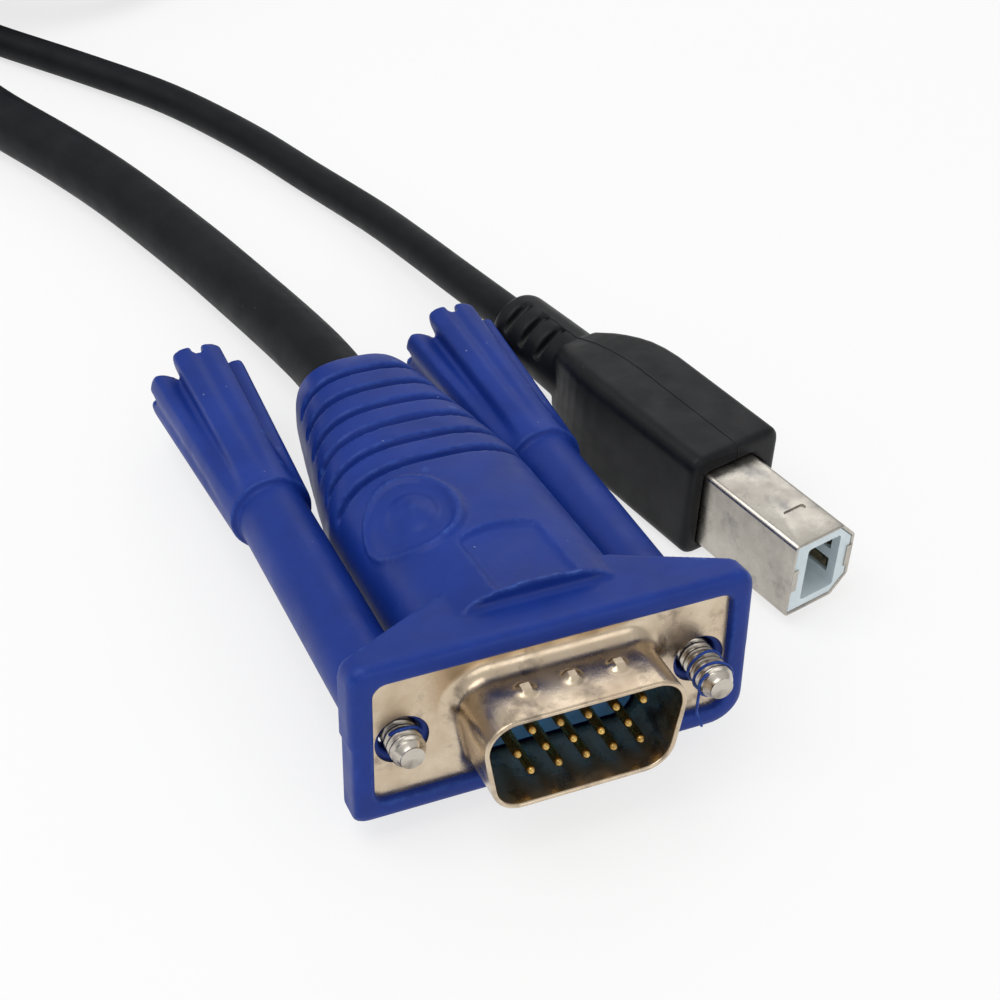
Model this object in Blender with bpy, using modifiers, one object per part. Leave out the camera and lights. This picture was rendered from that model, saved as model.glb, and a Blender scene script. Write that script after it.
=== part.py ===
"""KVM cable: a 15-pin video plug and a square USB plug on one end, their two leads coiled,
and a second video plug and a flat USB plug on the far end. Metres, +Z up, floor at z = 0."""
import bpy
import bmesh
import math
from mathutils import Matrix, Vector

mm = 0.001
GAP = 0.3 * mm                  # clearance between pieces that touch

# Video plug, in its own frame: X across, Y back along the plug, Z up, origin on the steel face
FLANGE_RIM = 1.345 * mm         # from the steel plate's end to the flange's
FLANGE_TOP = 7.9 * mm           # above the plug's axis at the front
FLANGE_FALL = 0.5 * mm          # how much lower the top is at the back
FLANGE_BOTTOM = 7.1 * mm        # below the plug's axis
FLANGE_CORNERS = (1.0 * mm, 2.7 * mm, 1.5 * mm, 1.5 * mm)      # from the bottom left, round by the right
FLANGE_EASE = 0.6 * mm          # rounding of the front edge
FLANGE_LIP = 0.7 * mm           # how far the plastic frame stands in front of the steel
FLANGE_EDGE = 2.0 * mm          # where the frame starts to slope back to the body
FLANGE_BACK = 6.4 * mm
WINDOW_LAP = 0.505 * mm         # how far the frame covers each end of the plate
WINDOW_TOP = 6.2 * mm
WINDOW_BOTTOM = 5.3 * mm
WINDOW_CORNER = 1.1 * mm
BODY_FRONT = 3.4 * mm
BODY_BACK = 46.0 * mm
BODY_CLEAR = 0.345 * mm         # from the body's side to the screws' necks
BODY_HALF_HEIGHT = 9.05 * mm
BODY_TAPER = 0.0798             # loss of half height for each unit along the body
BODY_PLAN = [(26 * mm, 1.0), (28 * mm, 0.96), (33 * mm, 0.87),
             (36.5 * mm, 0.8), (40 * mm, 0.73), (46 * mm, 0.6)]       # share of the width by station
BODY_ROUNDNESS = 2.8            # exponent of the body's section
BODY_FACETS = 24
RIB_FIRST = 24.4 * mm
RIB_PITCH = 3.45 * mm
RIB_COUNT = 6
RIB_WIDTH = 0.9 * mm
RIB_DEPTH = 0.55 * mm
REST_Y = 14.0 * mm              # station of the belly's rest point
LABEL_WIDTH = 6.8 * mm
LABEL_LENGTH = 7.6 * mm
LABEL_DEPTH = 0.5 * mm
LABEL_Y = 7.8 * mm
BADGE_AT = (-4.9 * mm, 17.2 * mm)
BADGE_RADII = (3.6 * mm, 4.9 * mm)
BADGE_WIRE = 0.42 * mm
BADGE_DOME = (2.0 * mm, 2.6 * mm, 0.8 * mm)

PLATE_END = 2.91 * mm           # from a screw's axis to the plate's end
PLATE_HEIGHT = 12.55 * mm
PLATE_CORNER = 1.5 * mm
PLATE_THICK = 0.5 * mm
SHELL_WIDTH = 17.6 * mm         # outside, at the wide side's sharp corners
SHELL_HEIGHT = 8.7 * mm
SHELL_CORNER = 2.6 * mm
SHELL_REACH = 6.05 * mm
SHELL_WALL = 0.42 * mm
SHELL_FLARE = 1.35 * mm
SHELL_SLANT = math.radians(10)
DIMPLE_PITCH = 3.8 * mm
DIMPLE_RADII = (1.0 * mm, 0.95 * mm, 0.34 * mm)
DIMPLE_Y = -3.0 * mm
INSULATOR_DEPTH = 8.0 * mm
PIN_RADIUS = 0.38 * mm
PIN_PITCH = 2.29 * mm
PIN_ROW = 1.98 * mm
PIN_REACH = 5.1 * mm
PIN_TAIL = 5.8 * mm

SCREW_SPACING = 24.99 * mm
SCREW_RADIUS = 1.42 * mm
SCREW_HOLE = 2.2 * mm
SCREW_LENGTH = 46.0 * mm
SCREW_TIP = 0.5 * mm
SCREW_OUT = {"left": 2.3 * mm, "right": 4.0 * mm}   # reach of each tip past the steel face
NECK_RADIUS = 3.05 * mm
NECK_START = 6.3 * mm           # from the screw's tip to the front of the plastic neck
COLLAR_AT = 33.5 * mm
COLLAR_RADIUS = 3.66 * mm
HEAD_RADIUS = 4.8 * mm
HEAD_END = 56.3 * mm
FLUTE_DEPTH = 1.1 * mm
NECK_SEAT = 2.0 * mm            # floor of the neck's seat in the flange

# Widths of the video plug that follow from its screws
PLATE_WIDTH = SCREW_SPACING + 2 * PLATE_END
WINDOW_WIDTH = PLATE_WIDTH - 2 * WINDOW_LAP
FLANGE_WIDTH = PLATE_WIDTH + 2 * FLANGE_RIM
BODY_HALF_WIDTH = SCREW_SPACING / 2 - NECK_RADIUS - BODY_CLEAR

# Square USB plug lying on its side: X across, Y back from the steel mouth, Z up
USB_B_WIDTH = 7.26 * mm
USB_B_HEIGHT = 8.0 * mm
USB_B_BEVEL = 1.75 * mm
USB_B_OUT = 11.8 * mm
USB_B_WALL = 0.32 * mm
USB_B_BURIED = 4.0 * mm
USB_B_MOULD = {"half": 5.1 * mm, "top": 5.8 * mm, "bottom": 5.1 * mm}   # reach from the plug's axis
USB_B_MOULD_CORNER = 1.3 * mm
USB_B_MOULD_BACK = 34.5 * mm
USB_B_CAVITY = (3.85 * mm, 5.7 * mm)
USB_B_CAVITY_DEPTH = 9.0 * mm
USB_B_SLOT = (2.4 * mm, 0.6 * mm)
USB_B_SLOT_AT = (-0.3 * mm, 3.9 * mm)
RELIEF_RADIUS = 3.5 * mm
RELIEF_RISE = 0.4 * mm          # above the square plug's axis
RELIEF_LENGTH = 9.8 * mm
RELIEF_SLOTS = 3
RELIEF_SLOT = (4.0 * mm, 0.9 * mm)
RELIEF_SLOT_PITCH = 2.6 * mm
RELIEF_SLOT_DEPTH = 1.0 * mm
RELIEF_SLOT_TURN = math.radians(53)             # of the slots round the relief, up from its -X side
RELIEF_END = 2.3 * mm           # from the relief's end to the middle of its last slot

# Flat USB plug on the far end
USB_A_WIDTH = 12.0 * mm
USB_A_HEIGHT = 4.5 * mm
USB_A_OUT = 12.0 * mm
USB_A_WALL = 0.3 * mm
USB_A_BURIED = 4.0 * mm
USB_A_MOULD = {"half": 7.8 * mm, "top": 4.0 * mm, "bottom": 4.0 * mm}
USB_A_MOULD_CORNER = 1.6 * mm
USB_A_MOULD_LENGTH = 19.0 * mm
USB_A_TONGUE = 1.9 * mm

CONTACT_WIDTH = 0.9 * mm
CONTACT_THICK = 0.3 * mm
BORE_DEPTH = 3.0 * mm           # how deep each lead goes into its moulding

# Leads
VIDEO_LEAD = 3.2 * mm           # radius
USB_LEAD = 1.9 * mm
TURN_SPACING = 1.03
LEAD_LIFT = 0.05 * mm
COIL_SKIN = 0.1 * mm            # round the turns, in each coil's solid
TIE_THICK = 0.8 * mm
TIE_WIDTH = 4.0 * mm
TIE_CORNER = 1.5 * mm

# Where the pieces lie on the floor
USB_B_AT = (30.29 * mm, -3.37 * mm)
USB_B_TURN = math.radians(13.24)
COIL_AT = (-10 * mm, 175 * mm)  # middle of both coils: the video lead's lies on the USB lead's
VIDEO_COIL = {"inner": 23.6 * mm, "turns": 5.0, "tails": (38 * mm, 90 * mm)}
USB_COIL = {"inner": 23.5 * mm, "turns": 5.5, "tails": (26 * mm, 30 * mm)}
TIE_ANGLES = {"video_tie": math.radians(32), "usb_tie": 0.0}
FAR_VIDEO_AT = (3.7 * mm, 154.0 * mm)      # where the far video plug's lead leaves its hood, on the coils
FAR_VIDEO_TURN = math.radians(-90)
USB_A_AT = (0.7 * mm, 191.0 * mm)
USB_A_TURN = math.radians(90)

# The leads' points between the moulding and the coil, and between the coil and the far plug
VIDEO_NEAR = [(-0.1, 38.5, 5.05), (-0.9, 45.6, 4.3), (-2.9, 56.3, 3.5), (-5.4, 66.4, 3.25),
              (-9.6, 79.8, 3.25), (-13.6, 90.0, 3.25), (-18.3, 100.4, 3.25), (-23.0, 112.0, 3.3),
              (-30.5, 122.5, 3.6), (-38.5, 133.0, 5.0), (-45.3, 145.5, 7.4), (-49.2, 158.0, 10.0),
              (-50.1, 168.0, 11.2)]
VIDEO_FAR = [(-48.1, 188.9, 18.0), (-41.5, 201.4, 18.4), (-30.6, 210.7, 19.9), (-17.2, 215.6, 22.0),
             (-2.9, 215.4, 24.1), (10.4, 210.3, 25.7), (21.2, 201.1, 26.6), (28.1, 188.9, 26.9),
             (29.7, 179.1, 27.0), (27.5, 169.4, 27.0), (21.8, 161.3, 27.1), (13.4, 155.9, 27.1)]
USB_NEAR = [(18.3, 50.0, 4.5), (17.1, 58.8, 3.3), (15.4, 67.6, 2.4), (11.8, 78.6, 1.95), (7.8, 89.3, 1.95),
            (2.0, 101.0, 1.95), (-4.9, 110.8, 1.95), (-12.3, 120.3, 1.95), (-17.5, 127.0, 1.95),
            (-24.0, 132.3, 1.95), (-31.5, 137.2, 1.95), (-38.5, 144.8, 1.95), (-42.8, 155.2, 1.95),
            (-44.2, 165.2, 1.95)]
USB_FAR = [(23.9, 164.0, 5.9), (21.3, 152.3, 5.9), (15.2, 140.5, 5.9), (4.1, 131.8, 6.3), (-10.0, 129.3, 8.8),
           (-24.2, 131.5, 12.2), (-36.9, 138.0, 15.6), (-47.0, 148.1, 18.9), (-53.5, 160.9, 21.9),
           (-55.8, 175.0, 24.0), (-54.6, 181.3, 25.0), (-51.1, 186.5, 25.4), (-46.1, 189.8, 25.5)]


def clear_scene():
    for ob in list(bpy.data.objects):
        bpy.data.objects.remove(ob, do_unlink=True)


def collection(name):
    found = bpy.data.collections.new(name)
    bpy.context.scene.collection.children.link(found)
    return found


def material(name, colour, roughness, metallic=0.0):
    mat = bpy.data.materials.new(name)
    mat.use_nodes = True
    shader = mat.node_tree.nodes["Principled BSDF"]
    shader.inputs["Base Color"].default_value = (*colour, 1.0)
    shader.inputs["Roughness"].default_value = roughness
    shader.inputs["Metallic"].default_value = metallic
    mat.diffuse_color = (*colour, 1.0)
    return mat


# Meshes and modifiers

def object_from(bm, name, where, parent=None, mat=None):
    bmesh.ops.recalc_face_normals(bm, faces=bm.faces)
    if bm.calc_volume(signed=True) < 0:
        bmesh.ops.reverse_faces(bm, faces=bm.faces)
    mesh = bpy.data.meshes.new(name)
    bm.to_mesh(mesh)
    bm.free()
    mesh.shade_smooth()
    mesh.set_sharp_from_angle(angle=math.radians(35))
    ob = bpy.data.objects.new(name, mesh)
    where.objects.link(ob)
    ob.parent = parent
    if mat:
        mesh.materials.append(mat)
    return ob


def loft(rings, closed=False):
    """A solid through rings of equal count; closed joins the last ring to the first, like a tyre."""
    bm = bmesh.new()
    loops = [[bm.verts.new(p) for p in ring] for ring in rings]
    count = len(loops[0])
    last = len(loops) if closed else len(loops) - 1
    for i in range(last):
        a, b = loops[i], loops[(i + 1) % len(loops)]
        for k in range(count):
            bm.faces.new((a[k], a[(k + 1) % count], b[(k + 1) % count], b[k]))
    if not closed:
        bm.faces.new(loops[0])
        bm.faces.new(loops[-1])
    return bm


def ring(outline, y):
    return [Vector((x, y, z)) for x, z in outline]


def from_curve(curve, matrix):
    """The closed mesh of a filled curve, moved by the matrix."""
    ob = bpy.data.objects.new("outline", curve)
    bpy.context.scene.collection.objects.link(ob)
    graph = bpy.context.evaluated_depsgraph_get()
    mesh = bpy.data.meshes.new_from_object(ob.evaluated_get(graph))
    bm = bmesh.new()
    bm.from_mesh(mesh)
    bmesh.ops.remove_doubles(bm, verts=bm.verts, dist=0.001 * mm)
    bm.transform(matrix)
    bpy.data.objects.remove(ob, do_unlink=True)
    bpy.data.curves.remove(curve)
    bpy.data.meshes.remove(mesh)
    return bm


def sheet(outlines, front, back):
    """A flat outline in X and Z, with any holes, as thick as front to back along Y."""
    curve = bpy.data.curves.new("outline", "CURVE")
    curve.dimensions = "2D"
    curve.fill_mode = "BOTH"
    curve.extrude = (back - front) / 2
    for points in outlines:
        spline = curve.splines.new("POLY")
        spline.points.add(len(points) - 1)
        for point, (u, v) in zip(spline.points, points):
            point.co = (u, v, 0, 1)
        spline.use_cyclic_u = True
    stand = Matrix.Translation((0, (front + back) / 2, 0)) @ Matrix.Rotation(math.pi / 2, 4, "X")
    return from_curve(curve, stand)


def tube(points, radius):
    """A round bar along points, with filled ends."""
    curve = bpy.data.curves.new("lead", "CURVE")
    curve.dimensions = "3D"
    curve.bevel_depth = radius
    curve.bevel_resolution = 2
    curve.use_fill_caps = True
    spline = curve.splines.new("POLY")
    spline.points.add(len(points) - 1)
    for point, place in zip(spline.points, points):
        point.co = (*place, 1)
    return from_curve(curve, Matrix.Identity(4))


def turned(name, profile, steps, where, parent, mat):
    """A turned piece along Y; the profile gives radius and station from the back to the front."""
    bm = bmesh.new()
    points = [bm.verts.new((radius, station, 0)) for radius, station in profile]
    for a, b in zip(points, points[1:]):
        bm.edges.new((a, b))
    mesh = bpy.data.meshes.new(name)
    bm.to_mesh(mesh)
    bm.free()
    ob = bpy.data.objects.new(name, mesh)
    where.objects.link(ob)
    ob.parent = parent
    mesh.materials.append(mat)
    screw = ob.modifiers.new("turn", "SCREW")
    screw.axis = "Y"
    screw.steps = steps
    screw.render_steps = steps
    screw.use_merge_vertices = True
    screw.merge_threshold = 0.001 * mm
    screw.use_smooth_shade = True
    return ob


def bar(radius, front, back, sides=20, at=(0, 0)):
    bm = bmesh.new()
    bmesh.ops.create_cone(bm, cap_ends=True, segments=sides, radius1=radius, radius2=radius, depth=back - front)
    turn = Matrix.Rotation(-math.pi / 2, 4, "X")
    bm.transform(Matrix.Translation((at[0], (front + back) / 2, at[1])) @ turn)
    return bm


def block(low, high):
    bm = bmesh.new()
    bmesh.ops.create_cube(bm, size=1)
    size = Vector(high) - Vector(low)
    middle = (Vector(high) + Vector(low)) / 2
    bm.transform(Matrix.Translation(middle) @ Matrix.Diagonal((*size, 1)))
    return bm


def boolean(ob, bm, operation):
    """Cuts or joins a shape given in the object's own frame."""
    tool = object_from(bm, ob.name + "_tool", cutters, ob)
    tool.hide_render = True
    tool.display_type = "WIRE"
    change = ob.modifiers.new(tool.name, "BOOLEAN")
    change.operation = operation
    change.object = tool
    change.solver = "EXACT"


def cut(ob, bm):
    boolean(ob, bm, "DIFFERENCE")


def join(ob, bm):
    boolean(ob, bm, "UNION")


# Outlines in X and Z

def fillet(corners, radius, segments=4):
    """A polygon with every corner rounded; radius is one value or one for each corner."""
    out = []
    for i, corner in enumerate(corners):
        size = radius[i] if isinstance(radius, (list, tuple)) else radius
        c = Vector(corner)
        a = (Vector(corners[i - 1]) - c).normalized()
        b = (Vector(corners[(i + 1) % len(corners)]) - c).normalized()
        half = a.angle(b) / 2
        centre = c + (a + b).normalized() * size / math.sin(half)
        start = c + a * size / math.tan(half) - centre
        turn = a.cross(b)
        sweep = (math.pi - 2 * half) * (1 if turn < 0 else -1)
        for k in range(segments + 1):
            t = sweep * k / segments
            x = start.x * math.cos(t) - start.y * math.sin(t)
            y = start.x * math.sin(t) + start.y * math.cos(t)
            out.append((centre.x + x, centre.y + y))
    return out


def circle(radius, x, sides=20):
    turns = [2 * math.pi * (k + 0.5) / sides for k in range(sides)]
    return [(x + radius * math.cos(a), radius * math.sin(a)) for a in turns]


def rectangle(width, height, radius, segments=4):
    w, h = width / 2, height / 2
    return fillet([(-w, -h), (w, -h), (w, h), (-w, h)], radius, segments)


def frame_outline(half, top, bottom, corners):
    """A rounded rectangle given by its reach to each side, above and below the axis."""
    return fillet([(-half, -bottom), (half, -bottom), (half, top), (-half, top)], corners, 3)


def d_shape(grow):
    """The video plug's outline, wide side up, grown or shrunk from the shell's outside."""
    top = SHELL_WIDTH / 2 + grow * (math.tan(SHELL_SLANT) + 1 / math.cos(SHELL_SLANT))
    h = SHELL_HEIGHT / 2 + grow
    foot = top - 2 * h * math.tan(SHELL_SLANT)
    return fillet([(-foot, -h), (foot, -h), (top, h), (-top, h)], SHELL_CORNER + grow)


def square_plug(grow=0.0):
    """The square USB plug on its side: the two corners on +X are cut off."""
    w, h = USB_B_WIDTH / 2 + grow, USB_B_HEIGHT / 2 + grow
    b = USB_B_BEVEL + grow * (2 - math.sqrt(2))
    corners = [(-w, -h), (w - b, -h), (w, -h + b), (w, h - b), (w - b, h), (-w, h)]
    return fillet(corners, 0.4 * mm, 2)


# Video plug

def body_half(y):
    """Half width and half height of the hood's body at a station along the plug."""
    width = BODY_HALF_WIDTH
    for (y0, share0), (y1, share1) in zip(BODY_PLAN, BODY_PLAN[1:]):
        if y > y0:
            width = BODY_HALF_WIDTH * (share0 + (share1 - share0) * min((y - y0) / (y1 - y0), 1))
    height = BODY_HALF_HEIGHT - BODY_TAPER * (y - BODY_FRONT)
    tail = max(y - (BODY_BACK - 4 * mm), 0) / (4 * mm)
    return width, height - 0.75 * mm * tail ** 2


def body_section(y, groove):
    """The body's rounded section at a station, with a rib's groove sunk in its crown and belly."""
    width, height = body_half(y)
    power = 2 / BODY_ROUNDNESS
    out = []
    for k in range(BODY_FACETS):
        a = (k + 0.5) * 2 * math.pi / BODY_FACETS
        c, s = math.cos(a), math.sin(a)
        z = math.copysign(abs(s) ** power, s)
        fade = min(max((abs(z) - 0.5) / 0.15, 0), 1)
        sink = groove * fade
        out.append((width * math.copysign(abs(c) ** power, c), z * height - math.copysign(sink, z)))
    return out


def body_top(x, y):
    width, height = body_half(y)
    return height * max(1 - abs(x / width) ** BODY_ROUNDNESS, 0) ** (1 / BODY_ROUNDNESS)


def facet_share():
    """How far out the belly's flat facet lies, as a share of the body's half height."""
    return math.cos(math.pi / BODY_FACETS) ** (2 / BODY_ROUNDNESS)


def plug_matrix(rest, turn=0.0):
    """A video plug's frame, with the tapered belly flat on its rest point and the plug turned about it."""
    pitch = math.atan(BODY_TAPER * facet_share())
    belly = (BODY_HALF_HEIGHT - BODY_TAPER * (REST_Y - BODY_FRONT)) * facet_share()
    tip = Matrix.Rotation(-pitch, 4, "X")
    lie = Matrix.Translation(rest) @ Matrix.Rotation(turn, 4, "Z")
    return lie @ tip @ Matrix.Translation((0, -REST_Y, belly))


def make_hood(name, frame, mat):
    """The blue hood: a tapering ribbed body joined to a flange that frames the steel plate."""
    stations = [(BODY_FRONT, 0), (RIB_FIRST - 2 * RIB_WIDTH, 0)]
    for k in range(RIB_COUNT):
        y = RIB_FIRST + k * RIB_PITCH
        stations += [(y - RIB_WIDTH / 2, 0), (y, RIB_DEPTH), (y + RIB_WIDTH / 2, 0)]
    stations += [(BODY_BACK - back, 0) for back in (2.2 * mm, 0.8 * mm, 0)]
    body = loft([ring(body_section(y, groove), y) for y, groove in stations])
    hood = object_from(body, name, parts, frame, mat)
    ease, front = FLANGE_EASE, -FLANGE_LIP
    flange = []
    wide, narrow = FLANGE_WIDTH / 2, 0.9 * BODY_HALF_WIDTH
    for y, half, inset, fall in ((front, wide, ease, 0), (front + 0.3 * ease, wide, 0.3 * ease, 0),
                                 (front + ease, wide, 0, 0), (FLANGE_EDGE, wide, 0, 0.5),
                                 (FLANGE_BACK, narrow, 0, 1)):
        reach = (half - inset, FLANGE_TOP - inset - fall * FLANGE_FALL, FLANGE_BOTTOM - inset)
        flange.append(ring(frame_outline(*reach, FLANGE_CORNERS), y))
    join(hood, loft(flange))
    window = frame_outline(WINDOW_WIDTH / 2, WINDOW_TOP, WINDOW_BOTTOM, WINDOW_CORNER)
    cut(hood, sheet([window], -FLANGE_LIP - mm, 0))
    pocket = rectangle(PLATE_WIDTH + 2 * GAP, PLATE_HEIGHT + 2 * GAP, PLATE_CORNER, 3)
    cut(hood, sheet([pocket], -GAP, PLATE_THICK + GAP))
    cut(hood, sheet([d_shape(GAP)], 0, INSULATOR_DEPTH + GAP))
    for side in (-1, 1):
        x = side * SCREW_SPACING / 2
        cut(hood, bar(SCREW_RADIUS + GAP, 0, 2 * NECK_SEAT, 16, (x, 0)))
        cut(hood, bar(NECK_RADIUS + GAP, NECK_SEAT, FLANGE_BACK + mm, 28, (x, 0)))
    cut(hood, bar(VIDEO_LEAD + GAP, BODY_BACK - BORE_DEPTH, BODY_BACK + mm, 16))
    add_badge(hood)
    cut_label(hood)


def add_badge(hood):
    """A plain raised ring with a low dome in it, bent over the crown."""
    x0, y0 = BADGE_AT
    outline = []
    for k in range(20):
        a = 2 * math.pi * k / 20
        x, y = x0 + BADGE_RADII[0] * math.cos(a), y0 + BADGE_RADII[1] * math.sin(a)
        outward = Vector((math.cos(a), math.sin(a), 0)).normalized()
        outline.append((Vector((x, y, body_top(x, y))), outward))
    rings = []
    for j in range(5):
        t = 2 * math.pi * j / 5
        out, lift = BADGE_WIRE * math.cos(t), BADGE_WIRE * math.sin(t)
        rings.append([centre + outward * out + Vector((0, 0, lift)) for centre, outward in outline])
    join(hood, loft(rings, closed=True))
    dome = bmesh.new()
    bmesh.ops.create_uvsphere(dome, u_segments=12, v_segments=7, radius=1)
    dome.transform(Matrix.Diagonal((*BADGE_DOME, 1)))
    for v in dome.verts:
        v.co.z += body_top(v.co.x + x0, v.co.y + y0)
    dome.transform(Matrix.Translation((x0, y0, 0)))
    join(hood, dome)


def cut_label(hood):
    """A shallow bare recess on the crown, with its back edge bowed."""
    w, l, bow = LABEL_WIDTH / 2, LABEL_LENGTH / 2, LABEL_LENGTH / 11
    outline = fillet([(-w, -l), (w, -l), (w, l), (w / 2, l + bow), (-w / 2, l + bow), (-w, l)], 0.5 * mm, 2)
    thick = 3 * mm
    slab = sheet([outline], 0, thick)
    slab.transform(Matrix.Rotation(-math.pi / 2, 4, "X"))
    slope = Matrix.Rotation(-math.atan(BODY_TAPER), 4, "X")
    slab.transform(Matrix.Translation((0, LABEL_Y, body_top(0, LABEL_Y) - LABEL_DEPTH + thick)) @ slope)
    cut(hood, slab)


def make_shell(name, frame, mat):
    """The steel plate with the contact shield drawn out of it, and three dimples on the shield."""
    mouth, wall = -SHELL_REACH, -SHELL_WALL
    stations = [(0.3 * mm, SHELL_FLARE), (0.05 * mm, SHELL_FLARE), (-0.1 * mm, 0.62 * SHELL_FLARE),
                (-0.4 * mm, 0.28 * SHELL_FLARE), (-0.9 * mm, 0.06 * SHELL_FLARE), (-1.4 * mm, 0),
                (mouth + 0.25 * mm, 0), (mouth, -0.12 * mm), (mouth, wall + 0.1 * mm), (mouth + 0.2 * mm, wall),
                (0.3 * mm, wall)]
    shield = loft([ring(d_shape(grow), y) for y, grow in stations], closed=True)
    shell = object_from(shield, name, parts, frame, mat)
    dimples = bmesh.new()
    for k in (-1, 0, 1):
        place = Matrix.Translation((k * DIMPLE_PITCH, DIMPLE_Y, SHELL_HEIGHT / 2))
        size = Matrix.Diagonal((*DIMPLE_RADII, 1))
        bmesh.ops.create_uvsphere(dimples, u_segments=10, v_segments=5, radius=1, matrix=place @ size)
    join(shell, dimples)
    edge = rectangle(PLATE_WIDTH, PLATE_HEIGHT, PLATE_CORNER, 3)
    holes = [circle(SCREW_HOLE, side * SCREW_SPACING / 2) for side in (-1, 1)]
    join(shell, sheet([edge, d_shape(SHELL_FLARE / 3), *holes], 0, PLATE_THICK))


def pin_places():
    """The fifteen contacts' places in X and Z, row by row from the top left."""
    out = []
    for z, shift in ((PIN_ROW, 0.25), (0, -0.25), (-PIN_ROW, 0.25)):
        out += [((k - 2 + shift) * PIN_PITCH, z) for k in range(5)]
    return out


def make_insulator(name, frame, mat, pins=False):
    core = object_from(sheet([d_shape(-SHELL_WALL - GAP)], 0.1 * mm, INSULATOR_DEPTH), name, parts, frame, mat)
    for x, z in pin_places():
        if pins:
            join(core, bar(PIN_RADIUS, -PIN_REACH, mm, 8, (x, z)))
        else:
            cut(core, bar(PIN_RADIUS + GAP, -mm, PIN_TAIL + GAP, 10, (x, z)))


def make_pins(prefix, frame, mat):
    profile = [(0, PIN_TAIL), (PIN_RADIUS, PIN_TAIL), (PIN_RADIUS, -PIN_REACH + 0.5 * mm),
               (0.55 * PIN_RADIUS, -PIN_REACH + 0.1 * mm), (0, -PIN_REACH)]
    for number, (x, z) in enumerate(pin_places(), 1):
        pin = turned(f"{prefix}_{number:02d}", profile, 10, parts, frame, mat)
        pin.location = (x, 0, z)


def flute(angle):
    """Depth of the grip's flutes round one of its four arms, 0 on a lobe and 1 between arms."""
    local = abs((math.degrees(angle) + 45) % 90 - 45)
    points = [(0, 0.3), (11.25, 0.1), (22.5, 0), (33.75, 0.2), (45, 1)]
    for (a0, d0), (a1, d1) in zip(points, points[1:]):
        if local <= a1 + 0.01:
            return d0 + (d1 - d0) * (local - a0) / (a1 - a0)
    return 1


def make_thumbscrew(prefix, side, frame, plastic, steel):
    """One captive thumbscrew: a steel screw with a plastic neck and fluted head moulded on it."""
    sign = -1 if side == "left" else 1
    axis = bpy.data.objects.new(f"{prefix}_{side}_axis", None)
    parts.objects.link(axis)
    axis.parent = frame
    axis.location = (sign * SCREW_SPACING / 2, -SCREW_OUT[side], 0)
    sides = 32
    rings = []
    length = HEAD_END - COLLAR_AT
    stations = [(NECK_START, NECK_RADIUS - 0.2 * mm, 0), (NECK_START + 0.2 * mm, NECK_RADIUS, 0),
                (COLLAR_AT, NECK_RADIUS, 0), (COLLAR_AT, COLLAR_RADIUS - 0.1 * mm, 0.04),
                (COLLAR_AT + 0.2 * mm, COLLAR_RADIUS, 0.08)]
    for share in (0.25, 0.6, 0.93):
        radius = COLLAR_RADIUS + (HEAD_RADIUS - COLLAR_RADIUS) * share
        stations.append((COLLAR_AT + share * length, radius, 0.1 + 0.9 * share))
    stations += [(HEAD_END - 0.4 * mm, HEAD_RADIUS - 0.35 * mm, 0.95), (HEAD_END, HEAD_RADIUS - 1.1 * mm, 0.75)]
    for y, radius, depth in stations:
        loop = []
        for k in range(sides):
            a = 2 * math.pi * k / sides
            r = radius - depth * FLUTE_DEPTH * flute(a)
            loop.append(Vector((r * math.cos(a), y, r * math.sin(a))))
        rings.append(loop)
    grip = object_from(loft(rings), f"{prefix}_{side}_grip", parts, axis, plastic)
    cut(grip, bar(SCREW_RADIUS + GAP, 0, SCREW_LENGTH + GAP, 16))
    profile = [(0, SCREW_LENGTH), (SCREW_RADIUS, SCREW_LENGTH), (SCREW_RADIUS, SCREW_TIP),
               (SCREW_RADIUS - SCREW_TIP / 2, 0), (0, 0)]
    turned(f"{prefix}_{side}_screw", profile, 16, parts, axis, steel)


def make_video_plug(prefix, rest, turn, fused_pins):
    frame = bpy.data.objects.new(f"{prefix}_plug_frame", None)
    parts.objects.link(frame)
    frame.matrix_world = plug_matrix(rest, turn)
    make_hood(f"{prefix}_hood", frame, blue)
    make_shell(f"{prefix}_shell", frame, nickel)
    make_insulator(f"{prefix}_insulator", frame, blue_core, fused_pins)
    if not fused_pins:
        make_pins(f"{prefix}_pin", frame, gold)
    for side in ("left", "right"):
        make_thumbscrew(prefix, side, frame, blue, nickel)
    return frame


# USB plugs

def add_relief(mould, start, rise, squash):
    """The strain relief behind a USB moulding, with slots on both sides and a bore for its lead."""
    rings = []
    for share, scale in ((-0.15, 1.0), (0, 1.0), (0.9, 0.93), (1, 0.8)):
        y = start + share * RELIEF_LENGTH
        rings.append([Vector((x, y, rise + squash * z)) for x, z in circle(scale * RELIEF_RADIUS, 0)])
    join(mould, loft(rings))
    end = start + RELIEF_LENGTH
    height, length = RELIEF_SLOT
    for side in (-1, 1):
        for k in range(RELIEF_SLOTS):
            y = end - RELIEF_END - k * RELIEF_SLOT_PITCH
            x = side * RELIEF_RADIUS
            slot = block((x - RELIEF_SLOT_DEPTH, y - length / 2, -height / 2),
                         (x + RELIEF_SLOT_DEPTH, y + length / 2, height / 2))
            slot.transform(Matrix.Translation((0, 0, rise)) @ Matrix.Rotation(RELIEF_SLOT_TURN, 4, "Y"))
            cut(mould, slot)
    cut(mould, bar(USB_LEAD + GAP, end - BORE_DEPTH, end + mm, 12, (0, rise)))


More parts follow.
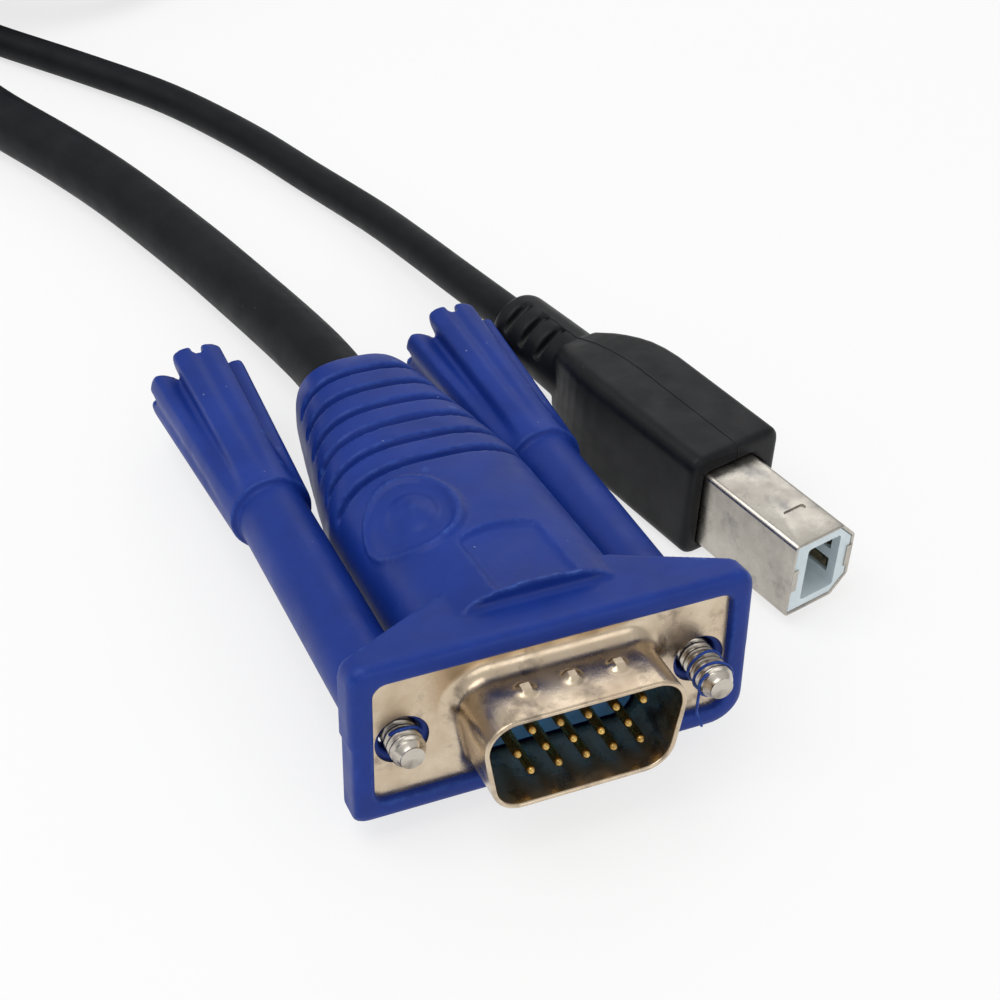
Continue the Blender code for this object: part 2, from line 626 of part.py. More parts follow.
def mould_rings(size, corner, front, back):
    """A plug's overmoulding: a rounded block with a soft front edge and shoulders that fall to the relief."""
    ease = 0.5 * mm
    length = back - front
    stations = [(front, ease, 0), (front + ease, 0, 0)]
    for share, sink in ((0.6, 0), (0.75, 0.06), (0.87, 0.19), (0.95, 0.33), (1, 0.44)):
        stations.append((front + share * length, 0, sink))
    rings = []
    for y, inset, sink in stations:
        reach = [size["half"] * (1 - sink), size["top"] * (1 - 0.7 * sink), size["bottom"] * (1 - 0.7 * sink)]
        rings.append(ring(frame_outline(*[value - inset for value in reach], corner), y))
    return rings


def make_usb_b(frame):
    rings = mould_rings(USB_B_MOULD, USB_B_MOULD_CORNER, USB_B_OUT, USB_B_MOULD_BACK)
    mould = object_from(loft(rings), "usb_b_overmould", parts, frame, black)
    add_relief(mould, USB_B_MOULD_BACK, RELIEF_RISE, 1)
    buried = USB_B_OUT + USB_B_BURIED
    cut(mould, sheet([square_plug(GAP)], USB_B_OUT - mm, buried + GAP))
    tube_wall = sheet([square_plug(), square_plug(-USB_B_WALL)], 0, buried)
    shell = object_from(tube_wall, "usb_b_shell", parts, frame, nickel)
    x, y = USB_B_SLOT_AT
    w, l = USB_B_SLOT
    top = USB_B_HEIGHT / 2
    cut(shell, block((x - w / 2, y - l / 2, top - mm), (x + w / 2, y + l / 2, top + mm)))
    filling = sheet([square_plug(-USB_B_WALL - GAP)], 0.15 * mm, buried - mm)
    core = object_from(filling, "usb_b_insulator", parts, frame, white)
    cut(core, sheet([rectangle(*USB_B_CAVITY, 0.3 * mm, 2)], -mm, USB_B_CAVITY_DEPTH))
    number = 0
    for side in (-1, 1):
        for z in (-1.25 * mm, 1.25 * mm):
            number += 1
            wall = side * (USB_B_CAVITY[0] / 2)
            groove = CONTACT_THICK + 2 * GAP
            low, high = sorted((wall - side * 0.2 * mm, wall + side * (groove - 0.2 * mm)))
            reach = CONTACT_WIDTH / 2 + GAP
            cut(core, block((low, mm, z - reach), (high, USB_B_CAVITY_DEPTH + mm, z + reach)))
            inner = wall + side * (groove / 2 - 0.2 * mm)
            contact = block((-CONTACT_THICK / 2, 1.3 * mm, -CONTACT_WIDTH / 2),
                            (CONTACT_THICK / 2, USB_B_CAVITY_DEPTH + 0.7 * mm, CONTACT_WIDTH / 2))
            piece = object_from(contact, f"usb_b_contact_{number}", parts, frame, gold)
            piece.location = (inner, 0, z)


def make_usb_a(frame):
    back = USB_A_OUT + USB_A_MOULD_LENGTH
    rings = mould_rings(USB_A_MOULD, USB_A_MOULD_CORNER, USB_A_OUT, back)
    mould = object_from(loft(rings), "usb_a_overmould", parts, frame, black)
    add_relief(mould, back, 0, 0.8)
    buried = USB_A_OUT + USB_A_BURIED
    outer = rectangle(USB_A_WIDTH, USB_A_HEIGHT, 0.5 * mm, 2)
    pocket = rectangle(USB_A_WIDTH + 2 * GAP, USB_A_HEIGHT + 2 * GAP, 0.5 * mm, 2)
    inner = rectangle(USB_A_WIDTH - 2 * USB_A_WALL, USB_A_HEIGHT - 2 * USB_A_WALL, 0.3 * mm, 2)
    cut(mould, sheet([pocket], USB_A_OUT - mm, buried + GAP))
    object_from(sheet([outer, inner], 0, buried), "usb_a_shell", parts, frame, nickel)
    low = -USB_A_HEIGHT / 2 + USB_A_WALL + GAP
    half = USB_A_WIDTH / 2 - USB_A_WALL - GAP
    tongue = object_from(block((-half, 0.4 * mm, low), (half, buried - mm, low + USB_A_TONGUE)),
                         "usb_a_tongue", parts, frame, white)
    for k in range(4):
        x = (k - 1.5) * 2.3 * mm
        reach = CONTACT_WIDTH / 2 + GAP
        top = low + USB_A_TONGUE
        cut(tongue, block((x - reach, 1.2 * mm, top - CONTACT_THICK - GAP), (x + reach, 9.8 * mm, top + mm)))
        contact = block((-CONTACT_WIDTH / 2, 1.5 * mm, 0), (CONTACT_WIDTH / 2, 9.5 * mm, CONTACT_THICK))
        piece = object_from(contact, f"usb_a_contact_{k + 1}", parts, frame, gold)
        piece.location = (x, 0, top - CONTACT_THICK)


# Leads, coils and ties

def smooth(points, step):
    """Points about a step apart on a smooth curve through the given points."""
    line = [Vector(p) for p in points]
    ends = [2 * line[0] - line[1], *line, 2 * line[-1] - line[-2]]
    out = []
    for i in range(1, len(ends) - 2):
        p0, p1, p2, p3 = ends[i - 1:i + 3]
        count = max(int(round((p2 - p1).length / step)), 1)
        for k in range(count):
            t = k / count
            out.append(0.5 * (2 * p1 + (p2 - p0) * t + (2 * p0 - 5 * p1 + 4 * p2 - p3) * t ** 2
                              + (3 * p1 - 3 * p2 + p3 - p0) * t ** 3))
    out.append(line[-1])
    return out


def millimetres(points):
    return [Vector(p) * mm for p in points]


def coil_size(coil, radius):
    pitch = 2 * radius * TURN_SPACING
    outer = coil["inner"] + pitch * coil["turns"] / 2
    return pitch, outer


def coil_height(radius):
    """Two layers of turns and the skin over them."""
    return 2 * radius + 2 * radius * TURN_SPACING + COIL_SKIN


def coil_ends(coil, radius, base):
    """Where the lead meets the coil: low on the -X side, and high after the last part of a turn."""
    pitch, outer = coil_size(coil, radius)
    x, y = COIL_AT
    angle = math.pi - 2 * math.pi * coil["turns"]
    low = base + radius + LEAD_LIFT
    start = Vector((x - outer, y, low))
    end = Vector((x + outer * math.cos(angle), y + outer * math.sin(angle), low + pitch))
    return start, end


def split(points, tail, radius):
    """Cuts a line so that its second piece is about as long as tail; their ends face each other square."""
    length = 0.0
    i = len(points) - 1
    while length < tail:
        length += (points[i] - points[i - 1]).length
        i -= 1
    along = (points[i + 1] - points[i]).normalized()
    return [*points[:i], points[i] - along * radius, points[i] - along * GAP], points[i:]


def make_coil(name, coil, radius, base, tails, mat):
    """One solid ring as large as the coiled turns, with the two tails that leave it."""
    _, outer = coil_size(coil, radius)
    low, high = coil["inner"] - radius - COIL_SKIN, outer + radius + COIL_SKIN
    top = coil_height(radius)
    round_off = 0.6 * radius
    profile = [(low, round_off), (low + round_off, 0), (high - round_off, 0), (high, round_off),
               (high, top - round_off), (high - round_off, top), (low + round_off, top),
               (low, top - round_off)]
    rings = [[Vector((u, v, z)) for u, v in circle(r, 0, 36)] for r, z in profile]
    x, y = COIL_AT
    ob = object_from(loft(rings, closed=True), name, parts, None, mat)
    ob.location = (x, y, base)
    for points in tails:
        stub = tube(points, radius)
        stub.transform(Matrix.Translation((-x, -y, -base)))
        join(ob, stub)
    return ob, low, high


def cut_tie_notches(coil, low, high):
    """Shallow grooves under the lower coil, where the bands pass."""
    for angle in TIE_ANGLES.values():
        notch = block((low - mm, -TIE_WIDTH / 2 - GAP, -mm), (high + mm, TIE_WIDTH / 2 + GAP, TIE_THICK + GAP))
        notch.transform(Matrix.Rotation(angle, 4, "Z"))
        cut(coil, notch)


def make_tie(name, low, high, top):
    """A flat band round both coils' turns; it passes under them in the lower coil's notch."""
    w = high - low + 2 * (GAP + TIE_THICK)
    h = top + GAP + TIE_THICK
    outer = rectangle(w, h, TIE_CORNER, 3)
    inner = rectangle(w - 2 * TIE_THICK, h - 2 * TIE_THICK, TIE_CORNER - TIE_THICK, 3)
    tie = object_from(sheet([outer, inner], -TIE_WIDTH / 2, TIE_WIDTH / 2), name, parts, None, grey)
    x, y = COIL_AT
    a = TIE_ANGLES[name]
    middle = (low + high) / 2
    tie.location = (x + middle * math.cos(a), y + middle * math.sin(a), h / 2)
    tie.rotation_euler = (0, 0, a)


def make_lead(kind, coil, radius, base, near_start, near, far, far_end):
    """A lead in two tubes with its coil between them; the coil's tails meet the tubes end to end."""
    start, end = coil_ends(coil, radius, base)
    step = 2.2 * radius * 2
    near_line = smooth([*near_start, *millimetres(near), start], step)
    far_line = smooth([*far_end, *reversed(millimetres(far)), end], step)
    near_tube, near_tail = split(near_line, coil["tails"][0], radius)
    far_tube, far_tail = split(far_line, coil["tails"][1], radius)
    object_from(tube(near_tube, radius), f"{kind}_lead", parts, None, black)
    object_from(tube(far_tube, radius), f"{kind}_lead_far", parts, None, black)
    return make_coil(f"{kind}_coil", coil, radius, base, (near_tail, far_tail), black)


def main():
    near = make_video_plug("vga", Vector((0, 0, 0)), 0.0, False)
    video_base = coil_height(USB_LEAD) + GAP
    coils_top = video_base + coil_height(VIDEO_LEAD)
    rest_to_exit = (plug_matrix(Vector((0, 0, 0))) @ Vector((0, BODY_BACK, 0))).y
    far_rest = Vector((*FAR_VIDEO_AT, coils_top + GAP))
    far_rest -= Matrix.Rotation(FAR_VIDEO_TURN, 4, "Z") @ Vector((0, rest_to_exit, 0))
    far = make_video_plug("far_vga", far_rest, FAR_VIDEO_TURN, True)

    square = bpy.data.objects.new("usb_b_frame", None)
    parts.objects.link(square)
    square.location = (*USB_B_AT, USB_B_MOULD["bottom"])
    square.rotation_euler = (0, 0, USB_B_TURN)
    make_usb_b(square)
    flat = bpy.data.objects.new("usb_a_frame", None)
    parts.objects.link(flat)
    flat.location = (*USB_A_AT, coils_top + GAP + USB_A_MOULD["bottom"])
    flat.rotation_euler = (0, 0, USB_A_TURN)
    make_usb_a(flat)
    bpy.context.view_layer.update()

    def entry(frame, back, rise=0):
        """A lead's first points, in its bore and just outside it."""
        return [frame.matrix_world @ Vector((0, back + shift, rise)) for shift in (GAP - BORE_DEPTH, 0)]

    square_exit = entry(square, USB_B_MOULD_BACK + RELIEF_LENGTH, RELIEF_RISE)
    flat_exit = entry(flat, USB_A_OUT + USB_A_MOULD_LENGTH + RELIEF_LENGTH)
    lower, low, high = make_lead("usb", USB_COIL, USB_LEAD, 0.0, square_exit, USB_NEAR, USB_FAR, flat_exit)
    cut_tie_notches(lower, low, high)
    _, low, high = make_lead("video", VIDEO_COIL, VIDEO_LEAD, video_base, entry(near, BODY_BACK), VIDEO_NEAR,
                             VIDEO_FAR, entry(far, BODY_BACK))
    for name in TIE_ANGLES:
        make_tie(name, low, high, coils_top)


clear_scene()
parts = collection("kvm_cable")
cutters = collection("cutters")
blue = material("blue_hood", (0.028, 0.072, 0.44), 0.42)
blue_core = material("blue_insulator", (0.02, 0.16, 0.36), 0.4)
nickel = material("nickel_plate", (0.72, 0.68, 0.62), 0.28, 1.0)
gold = material("gold_contact", (0.85, 0.58, 0.18), 0.25, 1.0)
white = material("white_insulator", (0.75, 0.84, 0.86), 0.4)
black = material("black_cover", (0.018, 0.019, 0.021), 0.5)
grey = material("tie_band", (0.05, 0.05, 0.055), 0.7)
main()
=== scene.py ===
import math
import bpy
import bmesh
from mathutils import Matrix, Vector
from mathutils.bvhtree import BVHTree


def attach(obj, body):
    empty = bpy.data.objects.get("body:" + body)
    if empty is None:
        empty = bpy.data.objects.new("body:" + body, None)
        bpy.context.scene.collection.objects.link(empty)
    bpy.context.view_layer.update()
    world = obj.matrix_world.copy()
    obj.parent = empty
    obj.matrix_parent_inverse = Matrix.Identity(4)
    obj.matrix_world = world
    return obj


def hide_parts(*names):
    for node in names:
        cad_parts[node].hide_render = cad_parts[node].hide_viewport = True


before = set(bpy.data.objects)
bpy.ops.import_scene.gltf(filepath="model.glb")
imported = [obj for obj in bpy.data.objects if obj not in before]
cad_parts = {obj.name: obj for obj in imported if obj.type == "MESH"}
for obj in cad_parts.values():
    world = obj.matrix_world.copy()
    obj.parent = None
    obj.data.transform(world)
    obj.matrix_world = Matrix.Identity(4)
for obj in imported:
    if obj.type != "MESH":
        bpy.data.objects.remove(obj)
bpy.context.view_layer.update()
scene = bpy.context.scene
mm = 0.001                      # pieces are shaped in millimetres and set down in metres
print("frame loaded")


# Camera, at the photograph's angle

view = {
    "place": (-0.051581, -0.110025, 0.11796),
    "right": (0.918, -0.3937, 0.0472),
    "up": (0.2161, 0.5966, 0.7729),
    "lens": 72.0,
    "near": 0.001,
}


def makeCamera():
    data = bpy.data.cameras.new("camera")
    data.sensor_width = 36
    data.lens = view["lens"]
    data.clip_start = view["near"]
    camera = bpy.data.objects.new("camera", data)
    scene.collection.objects.link(camera)
    right, up = Vector(view["right"]).normalized(), Vector(view["up"])
    back = right.cross(up).normalized()
    turn = Matrix((right, back.cross(right), back)).transposed().to_4x4()
    camera.matrix_world = Matrix.Translation(view["place"]) @ turn
    scene.camera = camera


makeCamera()


# Mesh helpers

def loft(rings, closed=False):
    bm = bmesh.new()
    loops = [[bm.verts.new(p) for p in line] for line in rings]
    count = len(loops[0])
    for i in range(len(loops) if closed else len(loops) - 1):
        a, b = loops[i], loops[(i + 1) % len(loops)]
        for k in range(count):
            bm.faces.new((a[k], a[(k + 1) % count], b[(k + 1) % count], b[k]))
    if not closed:
        bm.faces.new(loops[0])
        bm.faces.new(loops[-1])
    return bm


def across(outline, y):
    return [Vector((x, y, z)) for x, z in outline]


def toObject(bm, name):
    bmesh.ops.recalc_face_normals(bm, faces=bm.faces)
    if bm.calc_volume(signed=True) < 0:
        bmesh.ops.reverse_faces(bm, faces=bm.faces)
    mesh = bpy.data.meshes.new(name)
    bm.to_mesh(mesh)
    bm.free()
    ob = bpy.data.objects.new(name, mesh)
    scene.collection.objects.link(ob)
    return ob


def settle(ob):
    # what the modifiers make becomes the object's own mesh
    graph = bpy.context.evaluated_depsgraph_get()
    made = bpy.data.meshes.new_from_object(ob.evaluated_get(graph))
    old = ob.data
    ob.modifiers.clear()
    ob.data = made
    bpy.data.meshes.remove(old)


def combine(ob, bm, operation):
    tool = toObject(bm, "tool")
    change = ob.modifiers.new("change", "BOOLEAN")
    change.operation = operation
    change.object = tool
    change.solver = "EXACT"
    settle(ob)
    bpy.data.objects.remove(tool, do_unlink=True)


def cut(ob, bm):
    combine(ob, bm, "DIFFERENCE")


def join(ob, bm):
    combine(ob, bm, "UNION")


def add(ob, bm):
    # puts a loose closed shape into the same mesh
    bmesh.ops.recalc_face_normals(bm, faces=bm.faces)
    whole = bmesh.new()
    whole.from_mesh(ob.data)
    extra = bpy.data.meshes.new("extra")
    bm.to_mesh(extra)
    bm.free()
    whole.from_mesh(extra)
    bpy.data.meshes.remove(extra)
    whole.to_mesh(ob.data)
    whole.free()


def soften(ob, voxel, rounds):
    # one skin of even faces, with the small radii of a moulding on every edge
    skin = ob.modifiers.new("skin", "REMESH")
    skin.mode = "VOXEL"
    skin.voxel_size = voxel
    ease = ob.modifiers.new("ease", "SMOOTH")
    ease.factor = 0.5
    ease.iterations = rounds
    settle(ob)


def finishMesh(ob, sharp=None):
    mesh = ob.data
    bpy.data.objects.remove(ob, do_unlink=True)
    mesh.transform(Matrix.Scale(mm, 4))
    mesh.shade_smooth()
    if sharp:
        mesh.set_sharp_from_angle(angle=math.radians(sharp))
    return mesh


def setDown(name, mesh, place, body, material, slot, *nodes):
    piece = bpy.data.objects.new(name, mesh)
    scene.collection.objects.link(piece)
    mesh.materials.clear()
    mesh.materials.append(material)
    piece.matrix_world = place
    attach(piece, body)
    if nodes:
        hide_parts(*nodes)
    return piece


def fromCurve(curve, turn=Matrix.Identity(4)):
    ob = bpy.data.objects.new("outline", curve)
    scene.collection.objects.link(ob)
    graph = bpy.context.evaluated_depsgraph_get()
    mesh = bpy.data.meshes.new_from_object(ob.evaluated_get(graph))
    bm = bmesh.new()
    bm.from_mesh(mesh)
    bmesh.ops.remove_doubles(bm, verts=bm.verts, dist=0.0005)
    bm.transform(turn)
    bpy.data.objects.remove(ob, do_unlink=True)
    bpy.data.curves.remove(curve)
    bpy.data.meshes.remove(mesh)
    return bm


def flatSheet(outlines, front, back, ease=0.0):
    # outlines in X and Z, filled and as thick as front to back along Y, with eased edges
    curve = bpy.data.curves.new("outline", "CURVE")
    curve.dimensions = "2D"
    curve.fill_mode = "BOTH"
    curve.extrude = (back - front) / 2 - ease
    curve.bevel_depth = ease
    curve.bevel_resolution = 2
    curve.offset = -ease
    for points in outlines:
        spline = curve.splines.new("POLY")
        spline.points.add(len(points) - 1)
        for point, (u, v) in zip(spline.points, points):
            point.co = (u, v, 0, 1)
        spline.use_cyclic_u = True
    stand = Matrix.Translation((0, (front + back) / 2, 0)) @ Matrix.Rotation(math.pi / 2, 4, "X")
    return fromCurve(curve, stand)


def wire(points, radius, sides=2):
    curve = bpy.data.curves.new("wire", "CURVE")
    curve.dimensions = "3D"
    curve.bevel_depth = radius
    curve.bevel_resolution = sides
    curve.use_fill_caps = True
    spline = curve.splines.new("POLY")
    spline.points.add(len(points) - 1)
    for point, place in zip(spline.points, points):
        point.co = (*place, 1)
    return fromCurve(curve)


def bar(radius, front, back, sides=40, at=(0, 0)):
    bm = bmesh.new()
    bmesh.ops.create_cone(bm, cap_ends=True, segments=sides, radius1=radius, radius2=radius, depth=back - front)
    turn = Matrix.Rotation(-math.pi / 2, 4, "X")
    bm.transform(Matrix.Translation((at[0], (front + back) / 2, at[1])) @ turn)
    return bm


def block(low, high):
    bm = bmesh.new()
    bmesh.ops.create_cube(bm, size=1)
    size = Vector(high) - Vector(low)
    bm.transform(Matrix.Translation((Vector(high) + Vector(low)) / 2) @ Matrix.Diagonal((*size, 1)))
    return bm


def rounded(corners, radius, segments=8):
    out = []
    for i, corner in enumerate(corners):
        size = radius[i] if isinstance(radius, (list, tuple)) else radius
        c = Vector(corner)
        a = (Vector(corners[i - 1]) - c).normalized()
        b = (Vector(corners[(i + 1) % len(corners)]) - c).normalized()
        half = a.angle(b) / 2
        centre = c + (a + b).normalized() * size / math.sin(half)
        start = c + a * size / math.tan(half) - centre
        sweep = (math.pi - 2 * half) * (1 if a.cross(b) < 0 else -1)
        for k in range(segments + 1):
            t = sweep * k / segments
            x = start.x * math.cos(t) - start.y * math.sin(t)
            y = start.x * math.sin(t) + start.y * math.cos(t)
            out.append((centre.x + x, centre.y + y))
    return out


def rectangle(width, height, radius, segments=8):
    w, h = width / 2, height / 2
    return rounded([(-w, -h), (w, -h), (w, h), (-w, h)], radius, segments)


def box4(half, top, bottom, radius, segments=8):
    return rounded([(-half, -bottom), (half, -bottom), (half, top), (-half, top)], radius, segments)


def even(outline, step):
    # the same closed outline with points about a step apart
    points = [Vector(p) for p in outline]
    out = []
    for a, b in zip(points, points[1:] + points[:1]):
        count = max(round((b - a).length / step), 1)
        out += [tuple(a.lerp(b, k / count)) for k in range(count)]
    return out


def circle(radius, x=0.0, sides=40):
    turns = [2 * math.pi * k / sides for k in range(sides)]
    return [(x + radius * math.cos(a), radius * math.sin(a)) for a in turns]


def ramp(low, high, value):
    t = min(max((value - low) / (high - low), 0), 1)
    return t * t * (3 - 2 * t)


# Where each plug lies

plugRest = {"taper": 0.0798, "flat": 0.99385, "halfHeight": 9.05, "front": 3.4, "restY": 14.0}


def plugFrame(x, y, height=0.0, turn=0.0):
    # the tapered belly lies flat on what carries it, and the plug is turned about its rest point
    sizes = plugRest
    pitch = math.atan(sizes["taper"] * sizes["flat"])
    belly = (sizes["halfHeight"] - sizes["taper"] * (sizes["restY"] - sizes["front"])) * sizes["flat"]
    lie = flatFrame(x, y, height, turn) @ Matrix.Rotation(-pitch, 4, "X")
    return lie @ Matrix.Translation((0, -sizes["restY"] * mm, belly * mm))


def flatFrame(x, y, height, turn):
    return Matrix.Translation((x, y, height)) @ Matrix.Rotation(math.radians(turn), 4, "Z")


perch = 0.021506                # top of the two coils, on which the far plugs lie
nearPlug = plugFrame(0, 0)
farPlug = plugFrame(-0.028845, 0.154, perch, -90)
usbB = flatFrame(0.03029, -0.00337, 0.0051, 13.24)
usbA = flatFrame(0.0007, 0.191, perch + 0.004, 90)


# Cords: each leaves its plug, runs back, lies in its coil and ends in its far plug

cords = {
    "video": {
        "radius": 3.2, "base": 8.114, "inner": 23.6, "turns": 5.0, "length": 1.31,
        "from": (nearPlug, 46.0, 0), "to": (farPlug, 46.0, 0),
        "near": [(-0.1, 38.5, 5.05), (-0.9, 45.6, 4.3), (-2.9, 56.3, 3.5), (-5.4, 66.4, 3.25),
                 (-9.6, 79.8, 3.25), (-13.6, 90.0, 3.25), (-18.3, 100.4, 3.25), (-23.0, 112.0, 3.3),
                 (-30.5, 122.5, 3.6), (-38.5, 133.0, 5.0), (-45.3, 145.5, 7.4), (-49.2, 158.0, 10.0),
                 (-50.1, 168.0, 11.2)],
        "far": [(-48.1, 188.9, 18.0), (-41.5, 201.4, 18.4), (-30.6, 210.7, 19.9), (-17.2, 215.6, 22.0),
                (-2.9, 215.4, 24.1), (10.4, 210.3, 25.7), (21.2, 201.1, 26.6), (28.1, 188.9, 26.9),
                (29.7, 179.1, 27.0), (27.5, 169.4, 27.0), (21.8, 161.3, 27.1), (13.4, 155.9, 27.1)],
    },
    "usb": {
        "radius": 1.9, "base": 0.0, "inner": 23.5, "turns": 5.5, "length": 1.32,
        "from": (usbB, 44.3, 0.4), "to": (usbA, 40.8, 0),
        "near": [(18.3, 50.0, 4.5), (17.1, 58.8, 3.3), (15.4, 67.6, 2.4), (11.8, 78.6, 1.95), (7.8, 89.3, 1.95),
                 (2.0, 101.0, 1.95), (-4.9, 110.8, 1.95), (-12.3, 120.3, 1.95), (-17.5, 127.0, 1.95),
                 (-24.0, 132.3, 1.95), (-31.5, 137.2, 1.95), (-38.5, 144.8, 1.95), (-42.8, 155.2, 1.95),
                 (-44.2, 165.2, 1.95)],
        "far": [(23.9, 164.0, 5.9), (21.3, 152.3, 5.9), (15.2, 140.5, 5.9), (4.1, 131.8, 6.3), (-10.0, 129.3, 8.8),
                (-24.2, 131.5, 12.2), (-36.9, 138.0, 15.6), (-47.0, 148.1, 18.9), (-53.5, 160.9, 21.9),
                (-55.8, 175.0, 24.0), (-54.6, 181.3, 25.0), (-51.1, 186.5, 25.4), (-46.1, 189.8, 25.5)],
    },
}
cordLay = {"lift": 0.05, "spacing": 1.03, "climb": 120, "perTurn": 26, "tieLift": 0.95, "tieSpan": 14, "bore": 2.7}
stack = {"centre": (-10, 175), "ties": {"video": 32, "usb": 0}}      # both coils, the video cord's on top


def coilSize(cord):
    pitch = 2 * cord["radius"] * cordLay["spacing"]
    return pitch, cord["inner"] + pitch * cord["turns"] / 2


def coilLine(cord):
    # inwards along the floor, up beside the middle, and outwards on top of the first layer
    pitch, outer = coilSize(cord)
    x, y = stack["centre"]
    whole = 360 * cord["turns"]
    count = round(cordLay["perTurn"] * cord["turns"])
    out = []
    for k in range(count + 1):
        angle = whole * k / count
        away = abs(angle - whole / 2)
        radius = cord["inner"] + pitch * away / 360
        height = cord["base"] + cord["radius"] + cordLay["lift"]
        height += pitch * ramp(-cordLay["climb"] / 2, cordLay["climb"] / 2, angle - whole / 2)
        beside = min(abs((-angle - tie) % 360 - 180) for tie in stack["ties"].values())
        height += cordLay["tieLift"] * (1 - ramp(4, cordLay["tieSpan"], beside))
        a = math.radians(180 - angle)
        out.append(Vector((x + radius * math.cos(a), y + radius * math.sin(a), height)))
    return out


def smoothLine(points, step):
    line = [Vector(p) for p in points]
    ends = [2 * line[0] - line[1], *line, 2 * line[-1] - line[-2]]
    out = []
    for i in range(1, len(ends) - 2):
        p0, p1, p2, p3 = ends[i - 1:i + 3]
        count = max(round((p2 - p1).length / step), 1)
        for k in range(count):
            t = k / count
            out.append(0.5 * (2 * p1 + (p2 - p0) * t + (2 * p0 - 5 * p1 + 4 * p2 - p3) * t ** 2
                              + (3 * p1 - 3 * p2 + p3 - p0) * t ** 3))
    out.append(line[-1])
    return out


def cordLine(cord):
    ends = []
    for place, back, rise in (cord["from"], cord["to"]):
        ends.append([place @ (Vector((0, back + shift, rise)) * mm) / mm for shift in (-cordLay["bore"], 0)])
    points = [*ends[0], *cord["near"], *coilLine(cord), *cord["far"], *reversed(ends[1])]
    return [p * mm for p in smoothLine(points, 2.2)]


def lineLength(points):
    return sum((b - a).length for a, b in zip(points, points[1:]))


def makeCord(name, cord, material):
    curve = bpy.data.curves.new(name, "CURVE")
    curve.dimensions = "3D"
    curve.bevel_depth = cord["radius"] * mm
    curve.bevel_resolution = 6
    curve.use_fill_caps = True
    points = cordLine(cord)
    spline = curve.splines.new("POLY")
    spline.points.add(len(points) - 1)
    for point, place in zip(spline.points, points):
        point.co = (*place, 1)
    spline.use_smooth = True
    curve.materials.append(material)
    piece = bpy.data.objects.new(name, curve)
    scene.collection.objects.link(piece)
    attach(piece, "cable")
    print(name, "length", round(lineLength(points), 4), "m")
    return piece, points


# Shader groups, each used by several finishes

def newGroup(name, inputs, outputs):
    group = bpy.data.node_groups.new(name, "ShaderNodeTree")
    for label, kind, value in inputs:
        socket = group.interface.new_socket(label, in_out="INPUT", socket_type=kind)
        if value is not None:
            socket.default_value = value
    for label, kind in outputs:
        group.interface.new_socket(label, in_out="OUTPUT", socket_type=kind)
    return group, group.nodes.new("NodeGroupInput"), group.nodes.new("NodeGroupOutput")


def node(tree, kind, **values):
    made = tree.nodes.new(kind)
    for key, value in values.items():
        setattr(made, key, value)
    return made


def maths(tree, operation, first, second=None, clamp=False):
    made = node(tree, "ShaderNodeMath", operation=operation, use_clamp=clamp)
    for socket, value in zip(made.inputs, (first, second)):
        if value is None:
            continue
        if isinstance(value, (int, float)):
            socket.default_value = value
        else:
            tree.links.new(value, socket)
    return made.outputs[0]


def between(tree, value, low, high, toLow=0.0, toHigh=1.0):
    made = node(tree, "ShaderNodeMapRange")
    tree.links.new(value, made.inputs["Value"])
    made.inputs["From Min"].default_value = low
    made.inputs["From Max"].default_value = high
    made.inputs["To Min"].default_value = toLow
    made.inputs["To Max"].default_value = toHigh
    return made.outputs["Result"]


def blendColour(tree, mask, first, second):
    made = node(tree, "ShaderNodeMix", data_type="RGBA")
    tree.links.new(mask, made.inputs["Factor"])
    for socket, value in ((made.inputs["A"], first), (made.inputs["B"], second)):
        if isinstance(value, tuple):
            socket.default_value = (*value, 1)
        else:
            tree.links.new(value, socket)
    return made.outputs["Result"]


def noiseAt(tree, vector, scale, detail=3.0, rough=0.55):
    made = node(tree, "ShaderNodeTexNoise")
    tree.links.new(vector, made.inputs["Vector"])
    if isinstance(scale, (int, float)):
        made.inputs["Scale"].default_value = scale
    else:
        tree.links.new(scale, made.inputs["Scale"])
    made.inputs["Detail"].default_value = detail
    made.inputs["Roughness"].default_value = rough
    return made.outputs["Fac"]


def makeGrain():
    # fine pits and soft waves of a moulded or pressed face
    group, given, out = newGroup("faceGrain", [
        ("Vector", "NodeSocketVector", None), ("Fine Scale", "NodeSocketFloat", 2500.0),
        ("Fine Depth", "NodeSocketFloat", 0.00001), ("Wave Scale", "NodeSocketFloat", 120.0),
        ("Wave Depth", "NodeSocketFloat", 0.00003)], [("Normal", "NodeSocketVector"), ("Fine", "NodeSocketFloat")])
    fine = noiseAt(group, given.outputs["Vector"], given.outputs["Fine Scale"], 4.0, 0.6)
    wave = noiseAt(group, given.outputs["Vector"], given.outputs["Wave Scale"], 2.0, 0.4)
    height = maths(group, "ADD", maths(group, "MULTIPLY", fine, given.outputs["Fine Depth"]),
                   maths(group, "MULTIPLY", wave, given.outputs["Wave Depth"]))
    bump = node(group, "ShaderNodeBump")
    bump.inputs["Distance"].default_value = 1.0
    group.links.new(height, bump.inputs["Height"])
    group.links.new(bump.outputs["Normal"], out.inputs["Normal"])
    group.links.new(fine, out.inputs["Fine"])
    return group


